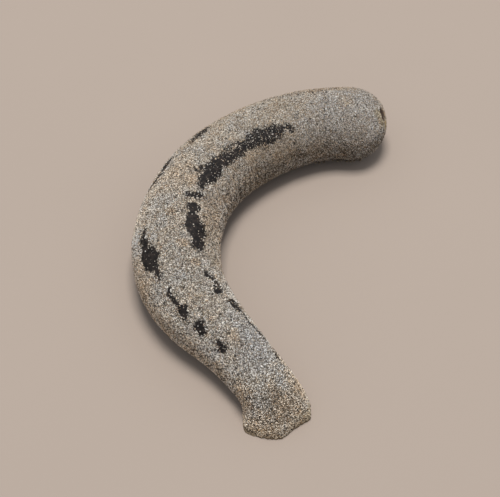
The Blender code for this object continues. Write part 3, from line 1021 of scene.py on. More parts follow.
def skin_material(settings):
    """Bare black hide in the patches, and silt-filled hide where the sand lies."""
    material, tree, shader, coordinates = new_material("sea_cucumber_skin", 0.6, 0.18)
    bare, warm, cool, dirt_and_shade = masks_of(tree, "markings")
    olive, dark, _, _ = masks_of(tree, "openings")
    folds = use_group(tree, "Hide", Vector=coordinates, Scale=SKIN_FOLDS)
    flesh = mix(tree, folds["Folds"], settings.flesh, settings.worn_flesh)
    sand = use_group(tree, "Speckle", Vector=coordinates, Scale=SILT_SPECKS)
    pit = tuple(SILT_PITS * level for level in settings.silt)
    silt = mix(tree, ranged(tree, sand["Value"], 0.25, 0.8), pit, settings.silt)
    silt = use_group(tree, "Shore tint", Color=silt, Warm=warm, Cool=cool, Dirt=dirt_and_shade, Olive=olive)
    # the vent's slit and the lip's edge take the opening colour: painted shade in the slit with its own
    # brown, and a painted shadow along the lip
    colour = mix(tree, dark, mix(tree, bare, silt["Color"], flesh), OPENING_AND_SHADE_COLOUR)
    tree.links.new(colour, shader["Base Color"])
    matte = ranged(tree, bare, 0.0, 1.0, SILT_ROUGHNESS, BARE_ROUGHNESS)
    uneven = calculated(tree, "ADD", matte, ranged(tree, folds["Folds"], 0.0, 1.0, -0.04, 0.1))
    tree.links.new(uneven, shader["Roughness"])
    grit = calculated(tree, "MULTIPLY", sand["Height"], 0.3)
    bump(tree, shader, calculated(tree, "ADD", folds["Height"], grit), SKIN_BUMP)
    return material


def grain_material(name, light, dark, roughness, gloss):
    """One mineral: grains from its dark to its light colour, each a little uneven."""
    material, tree, shader, coordinates = new_material(name, roughness, gloss)
    tone, warm, cool, dirt_and_shade = masks_of(tree, "grain")
    olive, _, _, _ = masks_of(tree, "growth")
    crystals = use_group(tree, "Speckle", Vector=coordinates, Scale=CRYSTALS)
    added = ranged(tree, crystals["Value"], 0.0, 1.0, -CRYSTAL_TONE, CRYSTAL_TONE)
    uneven = calculated(tree, "ADD", tone, added)
    colour = mix(tree, ranged(tree, uneven, 0.0, 1.0), dark, light)
    tinted = use_group(tree, "Shore tint", Color=colour, Warm=warm, Cool=cool, Dirt=dirt_and_shade, Olive=olive)
    tree.links.new(tinted["Color"], shader["Base Color"])
    bump(tree, shader, crystals["Height"], CRYSTAL_BUMP)
    return material


def flesh_material(name, sucker=None):
    """Soft dark flesh, paler on its folds, and paler still near the floor where it has suckers."""
    roughness, gloss, scale, depth, deep, worn = FLESHES[name]
    material, tree, shader, coordinates = new_material(name, roughness, gloss)
    folds = use_group(tree, "Hide", Vector=coordinates, Scale=scale)
    colour = mix(tree, folds["Folds"], deep, worn)
    if sucker:
        height = add(tree, "ShaderNodeSeparateXYZ", {0: coordinates}).outputs["Z"]
        colour = mix(tree, ranged(tree, height, *SUCKER_FADE), colour, sucker)
    tree.links.new(colour, shader["Base Color"])
    bump(tree, shader, folds["Height"], depth)
    return material


def floor_material(colour):
    """A plain matte floor, very faintly uneven."""
    material, tree, shader, coordinates = new_material("plain_floor", 0.95, 0.1)
    lumps = add(tree, "ShaderNodeTexNoise", {"Vector": coordinates, "Scale": 9.0, "Detail": 3.0})
    shade = tuple(0.96 * level for level in colour)
    tree.links.new(mix(tree, lumps.outputs[0], colour, shade), shader["Base Color"])
    return material


# ---------------- the skin


SKIN_SECTORS = 156
SKIN_ROWS = (  # (way, rows of the skin's mesh up to it)
    (0.0, 0), (CAP_WAY, 80), (NECK_WAY, 372), (LIP_WAY, 428),
    (RIM_WAY, 434), (ROOF_WAY, 446), (END_WAY, 452),
)
STREAK_EDGE = (-0.0003, 0.0006)  # depth in a streak at which it is first bare, and from there to all bare
THIN_EDGE = (-0.00024, 0.0008)  # as above, for the thin streaks
THIN_BARENESS = 0.85
# strength of the painted shadow along the lip's edge and its rim
LIP_EDGE_SHADE = 0.6
SOFT_HOLLOWS = (0.00030, 0.0075, 1.7)  # depth, size and the offset of their noise
BEND_DENTS = (0.00040, 0.0030, 8.8)  # as above
UNEVEN = ((0.00005, 0.0016, 2.0),)
BEND_START = (0.055, 0.03)  # where the folds inside the bend begin, and the length to their full depth
BEND_END = (0.190, 0.03)  # where they end, and the length over which they do
BEND_MIDDLE = (-0.25, 0.17)  # their middle and half width, as shares of a turn
NECK_FOLDS = (0.2125, 0.012)  # the middle and half length of the shallower folds on the neck
CREASE_SPACING = 0.0041
CREASE_WOBBLE = (6, 0.006, 5.0)  # how far the folds stray, and the size and offset of its noise
VENT_RIM = (1.7, 1.1)  # the middle of its puckered rim and half its width, in half sizes of the slit
VENT_RIM_HEIGHT = 0.00016
VENT_PUCKERS = (11, 0.00010)  # how many, and their depth
LIP_RAGS = ((0.0005, 0.0021, 0.0), (0.0004, 0.0007, 0.0))
LIP_RAG_MIDDLE = 0.00018
LIP_RAG_LIMIT = 0.0008
LIP_RAG_CIRCLE = 0.01  # radius at which the rags' noise is read, so that they run inwards


def coated(way):
    """1 under the full coat, which thins out towards the edge of the lip, and 0 from there on."""
    return fall(way, LIP_WAY, 0.0012)


def dented(places, depth, size, offset):
    """Soft hollows of up to a depth and of a size."""
    return depth * np.clip(noise_at(places, size, offset), 0, 1)


def relief(spots, creases):
    """How far the skin lies below its even surface: soft hollows, and folds inside the bend."""
    way, places = spots.way, spots.places
    hollows = dented(places, *SOFT_HOLLOWS)
    for away, (depth,) in round_marks(HOLLOWS, spots):
        hollows = hollows + MM * depth * eased(1 - away)
    bend = rise(way, *BEND_START) * fall(way, *BEND_END) * near(spots.side, *BEND_MIDDLE)
    neck = 0.5 * near(way, *NECK_FOLDS)
    wobble = layered_noise(places, (CREASE_WOBBLE,))
    folds = np.clip(np.cos(TURN * way / CREASE_SPACING + wobble), 0, 1) ** 2
    folds = creases * folds * np.clip(bend + neck, 0, 1)
    return hollows + folds + bend * dented(places, *BEND_DENTS) + layered_noise(places, UNEVEN)


def vent_relief(spots):
    """The slit of the vent and its puckered rim."""
    along, beside = vent_frame(spots)
    reach, angle = np.hypot(along, beside), np.arctan2(beside, along)
    count, depth = VENT_PUCKERS
    rim = near(reach, *VENT_RIM) * (VENT_RIM_HEIGHT + depth * np.cos(count * angle))
    return VENT_DEPTH * eased(1.25 - reach) - rim


def ragged_lip(way, places):
    """The lip's edge, drawn in here and there by up to a millimetre."""
    share = rise(way, LIP_WAY - 0.0022, 0.002) * fall(way, RIM_WAY, 0.001)
    edge = share > 0
    middle = np.array(on_floor(np.float64(NECK), 0.0, THROAT_ADVANCE + LIP_LENGTH / 2))
    spokes = places[edge, :2] - middle
    length = np.maximum(np.linalg.norm(spokes, axis=1), MERGE)
    rounds = middle + spokes / length[:, None] * LIP_RAG_CIRCLE
    ragged = LIP_RAG_MIDDLE + layered_noise(levelled(rounds), LIP_RAGS)
    drawn = 1 - np.clip(ragged, 0, LIP_RAG_LIMIT) * share[edge] / length
    moved = places.copy()
    moved[edge, :2] = middle + spokes * drawn[:, None]
    return moved


def skin_points(spots, settings):
    """The points of the skin that lie under the spots."""
    below = coated(spots.way) * (settings.coat_depth + relief(spots, settings.crease_depth))
    below = below + vent_relief(spots)
    return ragged_lip(spots.way, spots.places - spots.outwards * below[:, None])


def build_skin(settings):
    """The grid of the skin, wrapped round the body, closed along the sole and at both ends."""
    bm = bmesh.new()
    bm.loops.layers.uv.new("OFBake")
    ways, marks = zip(*SKIN_ROWS)
    rows = marks[-1]
    bmesh.ops.create_grid(bm, x_segments=rows, y_segments=SKIN_SECTORS, size=0.5, calc_uvs=True)
    mesh = mesh_of(bm, "skin")
    flat = np.empty(len(mesh.vertices) * 3, np.float32)
    mesh.vertices.foreach_get("co", flat)
    flat = flat.reshape(-1, 3).astype(float) + 0.5
    spots = spots_at(np.interp(flat[:, 0] * rows, marks, ways), flat[:, 1] - 0.5)
    points = np.clip(skin_points(spots, settings), LOWEST, HIGHEST)
    mesh.vertices.foreach_set("co", points.astype(np.float32).ravel())
    streaks = rise(bare_depth(spots), *STREAK_EDGE)
    thin = THIN_BARENESS * rise(chain_depth(spots, THIN_STREAKS), *THIN_EDGE)
    bare = np.maximum.reduce([streaks, thin, wear_and_shade(spots), spots.way > LIP_WAY])
    paint(mesh, "markings", bare, *region_tints(spots))
    # dark brown in and round the vent's slit: its own colour, and painted shade in the slit
    hole = fall(vent_reach(spots), 1.7, 0.9)
    # a dark line along the edge of the lip and its rim: painted contact shadow
    edge = LIP_EDGE_SHADE * rise(spots.way, LIP_WAY, 0.0003) * (spots.way < RIM_WAY)
    paint(mesh, "openings", olive_tint(spots), np.maximum(hole, edge))

    bm = bmesh.new()
    bm.from_mesh(mesh)
    close(bm)
    bm.to_mesh(mesh)
    bm.free()
    piece = link(mesh, "skin", skin_material(settings))
    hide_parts(*FLESH_NODES)


# ---------------- the sand


MINERALS = (  # name, shares on the rear's back, on flanks darkened by dirt and painted shade, and in front, light, dark, roughness, gloss
    ("quartz", 0.20, 0.18, 0.25, srgb(252, 247, 238), srgb(168, 160, 150), 0.25, 0.55),
    ("milky_quartz", 0.20, 0.14, 0.14, srgb(240, 231, 218), srgb(146, 136, 122), 0.45, 0.4),
    ("shell", 0.11, 0.15, 0.25, srgb(255, 251, 243), srgb(208, 198, 184), 0.5, 0.35),
    ("coral", 0.16, 0.15, 0.08, srgb(232, 212, 185), srgb(138, 119, 97), 0.75, 0.2),
    ("limestone", 0.17, 0.09, 0.04, srgb(202, 197, 190), srgb(104, 98, 92), 0.8, 0.2),
    ("basalt", 0.08, 0.18, 0.17, srgb(84, 78, 76), srgb(24, 22, 22), 0.5, 0.3),
    ("ironstone", 0.07, 0.11, 0.06, srgb(180, 152, 126), srgb(88, 70, 54), 0.75, 0.2),
)
FINES = (  # as above, for the fine grains
    ("pale_fines", 0.38, 0.30, 0.46, srgb(242, 233, 219), srgb(158, 148, 133), 0.6, 0.3),
    ("tan_fines", 0.34, 0.30, 0.12, srgb(214, 198, 176), srgb(122, 108, 90), 0.8, 0.2),
    ("dark_fines", 0.28, 0.40, 0.42, srgb(108, 99, 91), srgb(34, 30, 29), 0.7, 0.2),
)
FLAKES = (  # as above, for the few large flakes of shell and coral
    ("shell_flakes", 0.6, 0.6, 0.6, srgb(252, 247, 238), srgb(208, 200, 190), 0.35, 0.5),
    ("coral_flakes", 0.4, 0.4, 0.4, srgb(228, 208, 182), srgb(172, 154, 132), 0.7, 0.2),
)
LAYERS = (  # minerals, settings of spacing and size, spread, jitter, sides of a grain, share on bare skin
    (MINERALS, "spacing", "grain_size", 0.24, 0.85, 4, 0.08),
    (FINES, "fine_spacing", "fine_size", 0.20, 1.0, 4, 0.15),
    (FLAKES, "flake_spacing", "flake_size", 0.20, 2.0, 6, 0.02),
)
STRETCHES = (  # (first way, last way, the most that the skin is longer there than the way)
    (0.0004, CAP_WAY, 1.2),
    (CAP_WAY, NECK_WAY, 1.3),
    (NECK_WAY, LIP_WAY, 2.3),
)
RING_SPACING = 0.87  # of the spacing along a ring
NUDGE = 1e-5  # of way, to measure the skin's pace
COVER = (0.78, 0.995)  # share of the grains that stick, from where the skin faces down to the back
SOLE_COVER = 0.07
LOWEST_GRAIN = 0.00035  # height over the floor
SIZE_LIMITS = (0.55, 1.9)  # of a layer's middle size
FLATNESS = (0.55, 0.85)  # thickness of a grain as a share of its size
GRAIN_LENGTHS = (0.9, 1.25)
GRAIN_WIDTHS = (0.7, 1.0)
CHIPPED = (0.74, 1.16)  # how far a grain's corners stand out
DENTED = 0.08  # how far they are moved at random
GRAIN_TILT = 0.28  # of a grain from the skin, at random
PROUD = 0.78  # the most of a grain's thickness that stands out of the skin
ABOVE_COAT = 0.00002  # the furthest that it stands over the coat's surface
TONE_SPREAD = 1.4
TONE_CONTRAST = ((0.7, 3.3), (2.6, 4.0))  # on back and flanks, of the rear and in front
FRONT_GROWTH = 0.25  # how much larger the grains of the front's flanks are
THIN_PATCHES = (0.0016, 3.7)  # size of the small places where the sand lies thin, and their offset
STREAKY = (0.0030, 0.0009)  # length and width of the streaks of grains left in the bare patches
GRAIN_PATCH = 0.0013  # half its size on the bake's map


def pace_of(way, around):
    """How much longer the skin is than the way along the back."""
    gone = outer_place(way + NUDGE, around) - outer_place(way - NUDGE, around)
    return np.linalg.norm(gone, axis=1) / (2 * NUDGE)


def scattered(spacing, jitter, draws):
    """Places over the skin in rings, each moved at random: ways and shares of a turn."""
    ways, shares, arcs = ARCS
    found = []
    for first, last, stretch in STRETCHES:
        for ring in np.arange(first, last, RING_SPACING * spacing / stretch):
            row = int(round(np.interp(ring, ways, np.arange(ARC_ROWS))))
            girth = arcs[row, -1] - arcs[row, 0]
            count = max(3, int(round(girth / spacing)))
            slots = np.arange(count) + draws.uniform() + jitter * draws.uniform(-0.5, 0.5, count)
            around = np.interp((slots / count % 1) * girth, arcs[row] - arcs[row, 0], shares)
            way = ring + jitter * spacing * draws.uniform(-0.5, 0.5, count)
            way = np.clip(way, ARC_START, LIP_WAY - ARC_START)
            kept = draws.uniform(0, stretch, count) < pace_of(way, around)
            found.append((way[kept], around[kept]))
    return (np.concatenate(values) for values in zip(*found))


def thin_places(spots):
    """Small places where the sand lies thin, 0 to 1: on the flanks and in front."""
    lumps = eased(2.2 * noise_at(spots.places, *THIN_PATCHES))
    return lumps * np.maximum(0.35 * coarse_front(spots.way), on_flank(spots))


def wear_and_shade(spots):
    """How dark the skin shows between the grains, from 0 to 1: most in front, and on the lower flanks as
    painted shade.
    """
    way = spots.way
    worn = 0.28 * coarse_front(way) + 0.05 * on_face(way) + 0.35 * thin_places(spots)
    # the lower flanks: dark skin between the grains as painted shade
    worn = worn + 0.24 * fall(spots.up, 0.45, 0.7) * fall(way, 0.172, 0.03)
    # less dark skin on the lip's wall: painted light that lifts its shade
    return worn * (1 - 0.75 * on_lip(way))


def sand_cover(spots):
    """The share of grains that stick: nearly all on the back, fewer on the flanks, few below."""
    way, up = spots.way, spots.up
    cover = blend(*COVER, rise(up, -0.15, 0.8)) - 0.16 * thin_places(spots)
    # more grains on the lip's wall lighten it: painted light that lifts its shade
    cover = cover - 0.09 * coarse_front(way) - 0.03 * on_face(way) + 0.24 * on_lip(way)
    cover = blend(cover, SOLE_COVER, fall(up, -0.25, 0.35))
    cover *= fall(way, LIP_WAY - 0.0001, 0.0005)
    place, _, half_width = BARE_CORNER
    corner = eased(1.2 - np.abs(side_of(spots.around - place)) / half_width)
    cover *= 1 - rise(way, LIP_WAY - 0.0024, 0.0012) * corner
    cover *= rise(vent_reach(spots), 0.9, 0.6)
    return np.clip(cover, 0, 1)


def in_patches(spots, share, draws):
    """The share of grains that stick as the bare patches allow: few, and more in thin streaks."""
    depth = bare_depth(spots) + draws.normal(0, 0.0002, len(spots.way))
    length, width = STREAKY
    drawn_out = levelled(spots.way / length, spots.across / width)
    streaks = rise(noise_at(drawn_out, 1.0, 4.4), 0.12, 0.2)
    left = share * blend(1.4, 0.3, in_front(spots.way)) + 0.6 * streaks * eased(1 - depth / 0.0028)
    thin = chain_depth(spots, THIN_STREAKS) + layered_noise(spots.places, RAGGED)
    around_them = blend(1.0, 0.34, eased(thin / 0.0009))
    return blend(around_them, left, eased(depth / 0.0004))


def clear_of(points, places, radii):
    """Whether each place is further from the nearest point than that point's radius."""
    tree = tree_of(points)
    nearest = [tree.find(place)[1:] for place in places.tolist()]
    index, distance = np.array(nearest).T
    return distance > radii[index.astype(int)]


def grain_shapes(corners, sizes, flatness, draws):
    """Grains about the origin, flat side down, each with its own proportions and chipped corners."""
    count = len(sizes)
    lengths, widths = draws.uniform(*GRAIN_LENGTHS, count), draws.uniform(*GRAIN_WIDTHS, count)
    axes = np.column_stack([lengths, widths, flatness]) * sizes[:, None]
    chipped = draws.uniform(*CHIPPED, (count, len(corners), 1))
    moved = draws.normal(0, DENTED, (count, len(corners), 3))
    return (corners[None] * chipped + moved) * 0.5 * axes[:, None, :]


def lay_grains(name, spots, sizes, flatness, tints, material, shape, settings, draws):
    """One mineral's grains, sunk a little into the skin."""
    corners, faces = shape
    shapes = grain_shapes(corners, sizes, flatness, draws)
    tilt = spots.outwards + draws.normal(0, GRAIN_TILT, spots.outwards.shape)
    tilt /= np.linalg.norm(tilt, axis=1, keepdims=True)
    shapes = turned(shapes, tilt, draws)
    reach = np.einsum("nki,ni->nk", shapes, spots.outwards)
    top, bottom = reach.max(1), reach.min(1)
    coat = settings.coat_depth * coated(spots.way)
    proud = np.minimum(PROUD * (top - bottom), coat + ABOVE_COAT)
    centres = skin_points(spots, settings) + spots.outwards * (proud - top)[:, None]
    patch = GRAIN_PATCH * corners[:, :2]
    mesh = joined(name, centres[:, None, :] + shapes, faces, spots.way, spots.around, patch)
    paint(mesh, "grain", *np.repeat(tints, len(corners), axis=1))
    paint(mesh, "growth", np.repeat(olive_tint(spots), len(corners)))
    piece = link(mesh, name, material, smooth=False)


def sort_minerals(minerals, way, dirt_and_shade_level, draws):
    """The mineral of each grain, by its share on the rear's back, on flanks darkened by dirt and painted
    shade, or in front.
    """
    back, sides, front = np.array([mineral[1:4] for mineral in minerals]).T
    shares = blend(back[None], front[None], in_front(way)[:, None])
    shares = np.cumsum(blend(shares, sides[None], 0.7 * dirt_and_shade_level[:, None]), axis=1)
    shares /= shares[:, -1:]
    pick = draws.uniform(0, 1, len(way))
    return (pick[:, None] > shares).sum(1)


def lay_coat(layer, coat, settings, pits, draws):
    """A layer of the coat, one piece for each mineral, clear of pits: places and radii."""
    minerals, spacing, size, spread, jitter, sides, on_bare = layer
    spacing, size = getattr(coat, spacing), getattr(coat, size)
    spots = spots_at(*scattered(spacing, jitter, draws))
    chance = sand_cover(spots) * in_patches(spots, on_bare, draws)
    kept = draws.uniform(0, 1, len(chance)) < chance
    kept &= spots.places[:, 2] > LOWEST_GRAIN
    kept &= clear_of(pits[0], spots.places, pits[1])
    spots = spots.only(kept)
    count = len(spots.way)
    tints = region_tints(spots)
    kind = sort_minerals(minerals, spots.way, tints[2], draws)
    sizes = size * np.exp(draws.normal(0, spread, count))
    sizes *= 1 + FRONT_GROWTH * in_front(spots.way) * fall(spots.up, 0.7, 0.5)
    sizes = np.clip(sizes, SIZE_LIMITS[0] * size, SIZE_LIMITS[1] * size)
    flatness = draws.uniform(*FLATNESS, count)
    tone = draws.beta(TONE_SPREAD, TONE_SPREAD, count) - 0.5
    rear, front = (blend(*contrast, on_flank(spots)) for contrast in TONE_CONTRAST)
    tone = np.clip(0.5 + tone * blend(rear, front, coarse_front(spots.way)), 0, 1)
    tints = np.stack([tone, *tints])
    shape = template(ball(sides))
    for index, (name, _, _, _, *look) in enumerate(minerals):
        name = "sand_" + name
        mine = kind == index
        material = grain_material(name, *look)
        grains = spots.only(mine), sizes[mine], flatness[mine], tints[:, mine]
        lay_grains(name, *grains, material, shape, settings, draws)


# ---------------- papillae and tube feet


PAPILLA_PROFILE = ((0, -0.6), (1.0, -0.6), (0.9, 0.1), (0.55, 0.8), (0, 1.0))
PAPILLA_RADII = (0.00022, 0.00042)
PAPILLA_HEIGHTS = (0.00022, 0.00040)
PAPILLA_MARGIN = 0.004  # of way, kept free at the tail's end and at the lip
PAPILLA_TURN = 0.36  # share of a turn to either side of the back's middle
PAPILLA_VENT = 2.5  # clear of the vent, in half sizes of its slit
PAPILLA_PATCH = 0.0015  # half its size on the bake's map
PAPILLA_PIT = 0.00012  # the sand stays this far clear of a papilla
FOOT_BANDS = (-0.43, 0.0, 0.43)
FOOT_ROWS = (-0.13, -0.045, 0.045, 0.13)  # of the half width, to either side of a band's middle
FOOT_WANDER = (0.2, 0.02)  # of the pitch, and of the half width
FOOT_SPREAD = 0.00035  # of each sucker from under its root
FOOT_SIZES = (0.72, 1.12)  # smallest and largest sucker, as shares of its radius
FOOT_PROFILE = (  # radius as a share of the sucker's, fixed height, share of the foot's height
    (0.0, 0.0, 0.0),
    (0.92, 0.0, 0.0),
    (1.0, 0.00012, 0.0),
    (0.55, 0.00026, 0.1),
    (0.62, 0.0, 0.62),
    (0.95, 0.0, 1.0),
    (0.0, 0.0, 1.0),
)
FOOT_SIDES = 7
FOOT_SINK = 0.0006
FOOT_DISTANCE = 0.0008  # least distance between two suckers' middles
FOOT_FIT = 0.97  # most of half that distance which a sucker's radius takes up
FOOT_PATCH = (0.008, 0.012)  # its size on the bake's map
FEET_START = 0.0105


def papilla_spots(count, draws):
    """Where papillae poke through the sand, with their radii."""
    way = draws.uniform(PAPILLA_MARGIN, LIP_WAY - PAPILLA_MARGIN, 3 * count)
    around = draws.uniform(-PAPILLA_TURN, PAPILLA_TURN, 3 * count)
    radii = draws.uniform(*PAPILLA_RADII, 3 * count)
    spots = spots_at(way, around)
    free = (bare_depth(spots) < -EDGE_REACH) & (vent_reach(spots) > PAPILLA_VENT)
    first = np.flatnonzero(free)[:count]
    return spots.only(first), radii[first]


def build_papillae(spots, radii, settings, draws):
    """Small soft cones with their feet in the skin and their tips among the grains."""
    points, faces = template(spun(PAPILLA_PROFILE, 6))
    heights = draws.uniform(*PAPILLA_HEIGHTS, len(radii))
    shapes = points[None] * np.column_stack([radii, radii, heights])[:, None, :]
    shapes = turned(shapes, spots.outwards, draws) + skin_points(spots, settings)[:, None, :]
    mesh = joined("papillae", shapes, faces, spots.way, spots.around, PAPILLA_PATCH * points[:, :2])
    piece = link(mesh, "papillae", flesh_material("papilla_skin"))


def apart(places, least):
    """Marks the places that keep a least distance from those before them, with their free radii."""
    places = levelled(places)
    tree = tree_of(places)
    kept = np.ones(len(places), bool)
    for index, place in enumerate(places):
        close_by = [other for _, other, _ in tree.find_range(place, least) if other < index]
        kept[index] = not any(kept[other] for other in close_by)
    free = np.empty(len(places))
    for index, place in enumerate(places):
        gaps = [gap for _, other, gap in tree.find_n(place, 8) if other != index and kept[other]]
        free[index] = min(gaps, default=least) / 2
    return kept, free


def foot_places(pitch, draws):
    """Stations and shares of the half width, band by band and row by row."""
    count = int((NECK - FEET_START) / pitch)
    station, share = np.array([
        (FEET_START + (k + 0.5 * (row % 2)) * pitch, band + aside)
        for band in FOOT_BANDS
        for row, aside in enumerate(FOOT_ROWS)
        for k in range(count)
    ]).T
    along, aside = FOOT_WANDER
    station = station + draws.uniform(-along, along, len(station)) * pitch
    return np.clip(station, FEET_START, NECK), share, draws.uniform(-aside, aside, len(share))


def build_feet(settings, skin_settings, draws):
    """Tube feet in three crowded bands under the sole, from inside the skin to the floor."""
    station, share, wander = foot_places(settings.pitch, draws)
    half_width, _, below, widest = section_sizes(station)
    across = (share + wander) * half_width
    inside = 1 - np.clip(np.abs(across) / half_width, 0, 1) ** SOLE_POWER
    top = widest - below * inside ** (1 / SOLE_POWER) + skin_settings.coat_depth + FOOT_SINK
    radii = settings.sucker_radius * draws.uniform(*FOOT_SIZES, len(station))
    spread = draws.uniform(-FOOT_SPREAD, FOOT_SPREAD, (len(station), 2))
    roots = np.column_stack(on_floor(station, across, 0))
    kept, free = apart(roots + spread, FOOT_DISTANCE)
    radii = np.minimum(radii, FOOT_FIT * free)
    station, share, roots, top, radii, spread = (
        values[kept] for values in (station, share, roots, top, radii, spread)
    )

    marked = [(radius, fixed + MM * k) for k, (radius, fixed, _) in enumerate(FOOT_PROFILE)]
    points, faces = template(spun(marked, FOOT_SIDES))
    ring = np.abs(points[:, 2][:, None] - [height for _, height in marked]).argmin(1)
    _, fixed, lifted = (np.array(column)[ring] for column in zip(*FOOT_PROFILE))
    flat = points[None, :, :2] * radii[:, None, None] + roots[:, None, :]
    flat = flat + (1 - lifted)[None, :, None] * spread[:, None, :]
    heights = fixed + lifted * top[:, None]
    copies = np.concatenate([flat, heights[..., None]], axis=2)
    round_it = np.arctan2(points[:, 1], points[:, 0]) / TURN
    patch = np.column_stack([round_it, ring / len(FOOT_PROFILE)]) * FOOT_PATCH
    way = station - CAP_LENGTH + CAP_WAY
    mesh = joined("tube_feet", copies, faces, way, 0.5 - 0.2 * share, patch)
    piece = link(mesh, "tube_feet", flesh_material("tube_foot_skin", SUCKER_COLOUR))


# ---------------- the mouth


DISC_SECTORS = 96
DISC_RINGS = 26
DISC_HEIGHT = 0.0041
DISC_THICKNESS = 0.0003
DISC_FIT = 0.985  # of the recess's width
DISC_FOLDS = (20, 0.00014)  # radial folds, and their depth
DISC_RIPPLES = (0.0011, 0.00009)  # spacing of the rings round the mouth, and their depth
DISC_RISE = 0.0014  # of its edge, up the wall of the recess
MOUTH_LIP = (1.5, 0.5, 0.0005)  # its middle and breadth in radii of the mouth, and its height
MOUTH_PUCKERS = (15, 0.15)  # how many, and their share of the lip's height
THROAT = (0.0016, 0.6)  # depth, and the power that rounds it
TENTACLE_ROWS = (  # (how many, share of the recess's size to their shields, to their roots, size)
    (12, 0.74, 0.55, 1.0),
    (8, 0.42, 0.34, 0.9),
)
STALK_SIDES = 12
STALK_PROFILE = (  # radius as a share of the shield's, height as a share of the tentacle's
    (0, 0.30), (0.42, 0.34), (0.34, 0.5), (0.42, 0.6), (0.36, 0.72), (0.46, 0.85), (0.58, 1), (0, 1),
)
LOBES = 12
LOBE_BEADS = (  # (place out from the middle and size as shares of the shield's radius, turned aside)
    (0.42, 0.20, 0),
    (0.70, 0.17, -0.12),
    (0.72, 0.16, 0.13),
    (0.90, 0.12, 0.02),
)
BEAD_SWELL = 1.1  # radius of a bead as a share of its height over the floor
SHIELD_SIZE = 0.62
SHIELD_FLATNESS = 0.35
SHIELD_HEIGHT = 0.00030  # of its middle over the floor
TENTACLE_FLOOR = 0.00002


def recess_place(share, angle):
    """Floor points at a share of the way from the middle of the recess to its edge."""
    half_width = FULL_HALF_WIDTH - LIP_RIM
    half_length = FULL_LENGTH / 2 - LIP_RIM
    middle = THROAT_ADVANCE + FULL_LENGTH / 2
    across, ahead = np.sin(angle) * half_width * share, np.cos(angle) * half_length * share
    return on_floor(np.float64(NECK), across, middle + ahead)


def disc_height(share, angle, distance, mouth_radius):
    """Height of the oral disc at a share of the way to its edge, a distance from its middle."""
    middle, breadth, height = MOUTH_LIP
    puckers, share_of_lip = MOUTH_PUCKERS
    lip = height * math.exp(-(((distance / mouth_radius - middle) / breadth) ** 2))
    lip = lip * (1 - share_of_lip + share_of_lip * math.cos(puckers * angle))
    depth, power = THROAT
    throat = depth * max(0.0, 1 - distance / mouth_radius) ** power
    (folds, fold_depth), (spacing, ripple_depth) = DISC_FOLDS, DISC_RIPPLES
    fold = fold_depth * math.cos(folds * angle) * share * (1 - share) * 4
    ripple = ripple_depth * math.cos(TURN * distance / spacing) * share
    return DISC_HEIGHT - lip - fold - ripple + throat + DISC_RISE * share**6


def build_disc(settings):
    """The oral disc, a folded sheet over the recess with the puckered mouth in its middle."""
    bm = bmesh.new()
    bmesh.ops.create_grid(bm, x_segments=DISC_RINGS, y_segments=DISC_SECTORS, size=0.5)
    edge = FULL_HALF_WIDTH - LIP_RIM
    reach = edge - RECESS_SLOPE * DISC_HEIGHT / RECESS_DEPTH
    for vert in bm.verts:
        share, angle = vert.co.x + 0.5, TURN * (vert.co.y + 0.5)
        x, y = recess_place(share * reach / edge * DISC_FIT, angle)
        vert.co = (x, y, disc_height(share, angle, share * reach, settings.mouth_radius))
    close(bm)
    if sum(face.normal.z * face.calc_area() for face in bm.faces) > 0:
        bmesh.ops.reverse_faces(bm, faces=bm.faces)
    bmesh.ops.solidify(bm, geom=bm.faces, thickness=DISC_THICKNESS)
    bmesh.ops.recalc_face_normals(bm, faces=bm.faces)
    piece = link(mesh_of(bm, "oral_disc"), "oral_disc", flesh_material("oral_disc_flesh"))
    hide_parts("mouth")


def build_tentacle(bm, root, tip, radius, height):
    """A ringed stalk down to a shield of branching lobes that lies on the floor."""
    made = spun([(r * radius, h * height) for r, h in STALK_PROFILE], STALK_SIDES)
    for lobe in range(LOBES):
        for share, size, swing in LOBE_BEADS:
            angle, out, up = TURN * lobe / LOBES + swing, share * radius, size * radius
            bead = Matrix.Translation((out * math.cos(angle), out * math.sin(angle), up))
            bmesh.ops.create_uvsphere(
                made, u_segments=6, v_segments=4, radius=BEAD_SWELL * up, matrix=bead
            )
    shield = Matrix.Translation((0, 0, SHIELD_HEIGHT)) @ Matrix.Diagonal((1, 1, SHIELD_FLATNESS, 1))
    bmesh.ops.create_uvsphere(
        made, u_segments=16, v_segments=6, radius=SHIELD_SIZE * radius, matrix=shield
    )
    for vert in made.verts:
        vert.co.z = max(vert.co.z, TENTACLE_FLOOR)
        at = tip.lerp(root, float(eased(vert.co.z / height)))
        vert.co = Vector((vert.co.x + at.x, vert.co.y + at.y, vert.co.z))
    mesh = mesh_of(made, "tentacle")
    bm.from_mesh(mesh)
    bpy.data.meshes.remove(mesh)


def build_tentacles(settings):
    """The shield-shaped tentacles in their outer and inner row."""
    bm = bmesh.new()
    for row, (count, shield_share, root_share, size) in enumerate(TENTACLE_ROWS):
        for k in range(count):
            angle = TURN * (k + 0.5 * row) / count
            root = Vector((*recess_place(root_share, angle), 0))
            tip = Vector((*recess_place(shield_share, angle), 0))
            build_tentacle(bm, root, tip, settings.shield_radius * size, DISC_HEIGHT + DISC_THICKNESS)
    piece = link(mesh_of(bm, "tentacles"), "tentacles", flesh_material("tentacle_flesh"))


# ---------------- the stage


VIEW_TARGET = Vector((-0.00603, 0.00937, 0.0))
SENSOR = 36.0  # mm
LENS = 102.857  # mm
KEY_ELEVATION = math.radians(86)
KEY_DISTANCE = 1.4
KEY_SIZE = 0.5
KEY_COLOUR = (1.0, 0.975, 0.94)
SKY_COLOUR = (0.93, 0.96, 1.0, 1)
FLOOR_RADIUS = 6.0


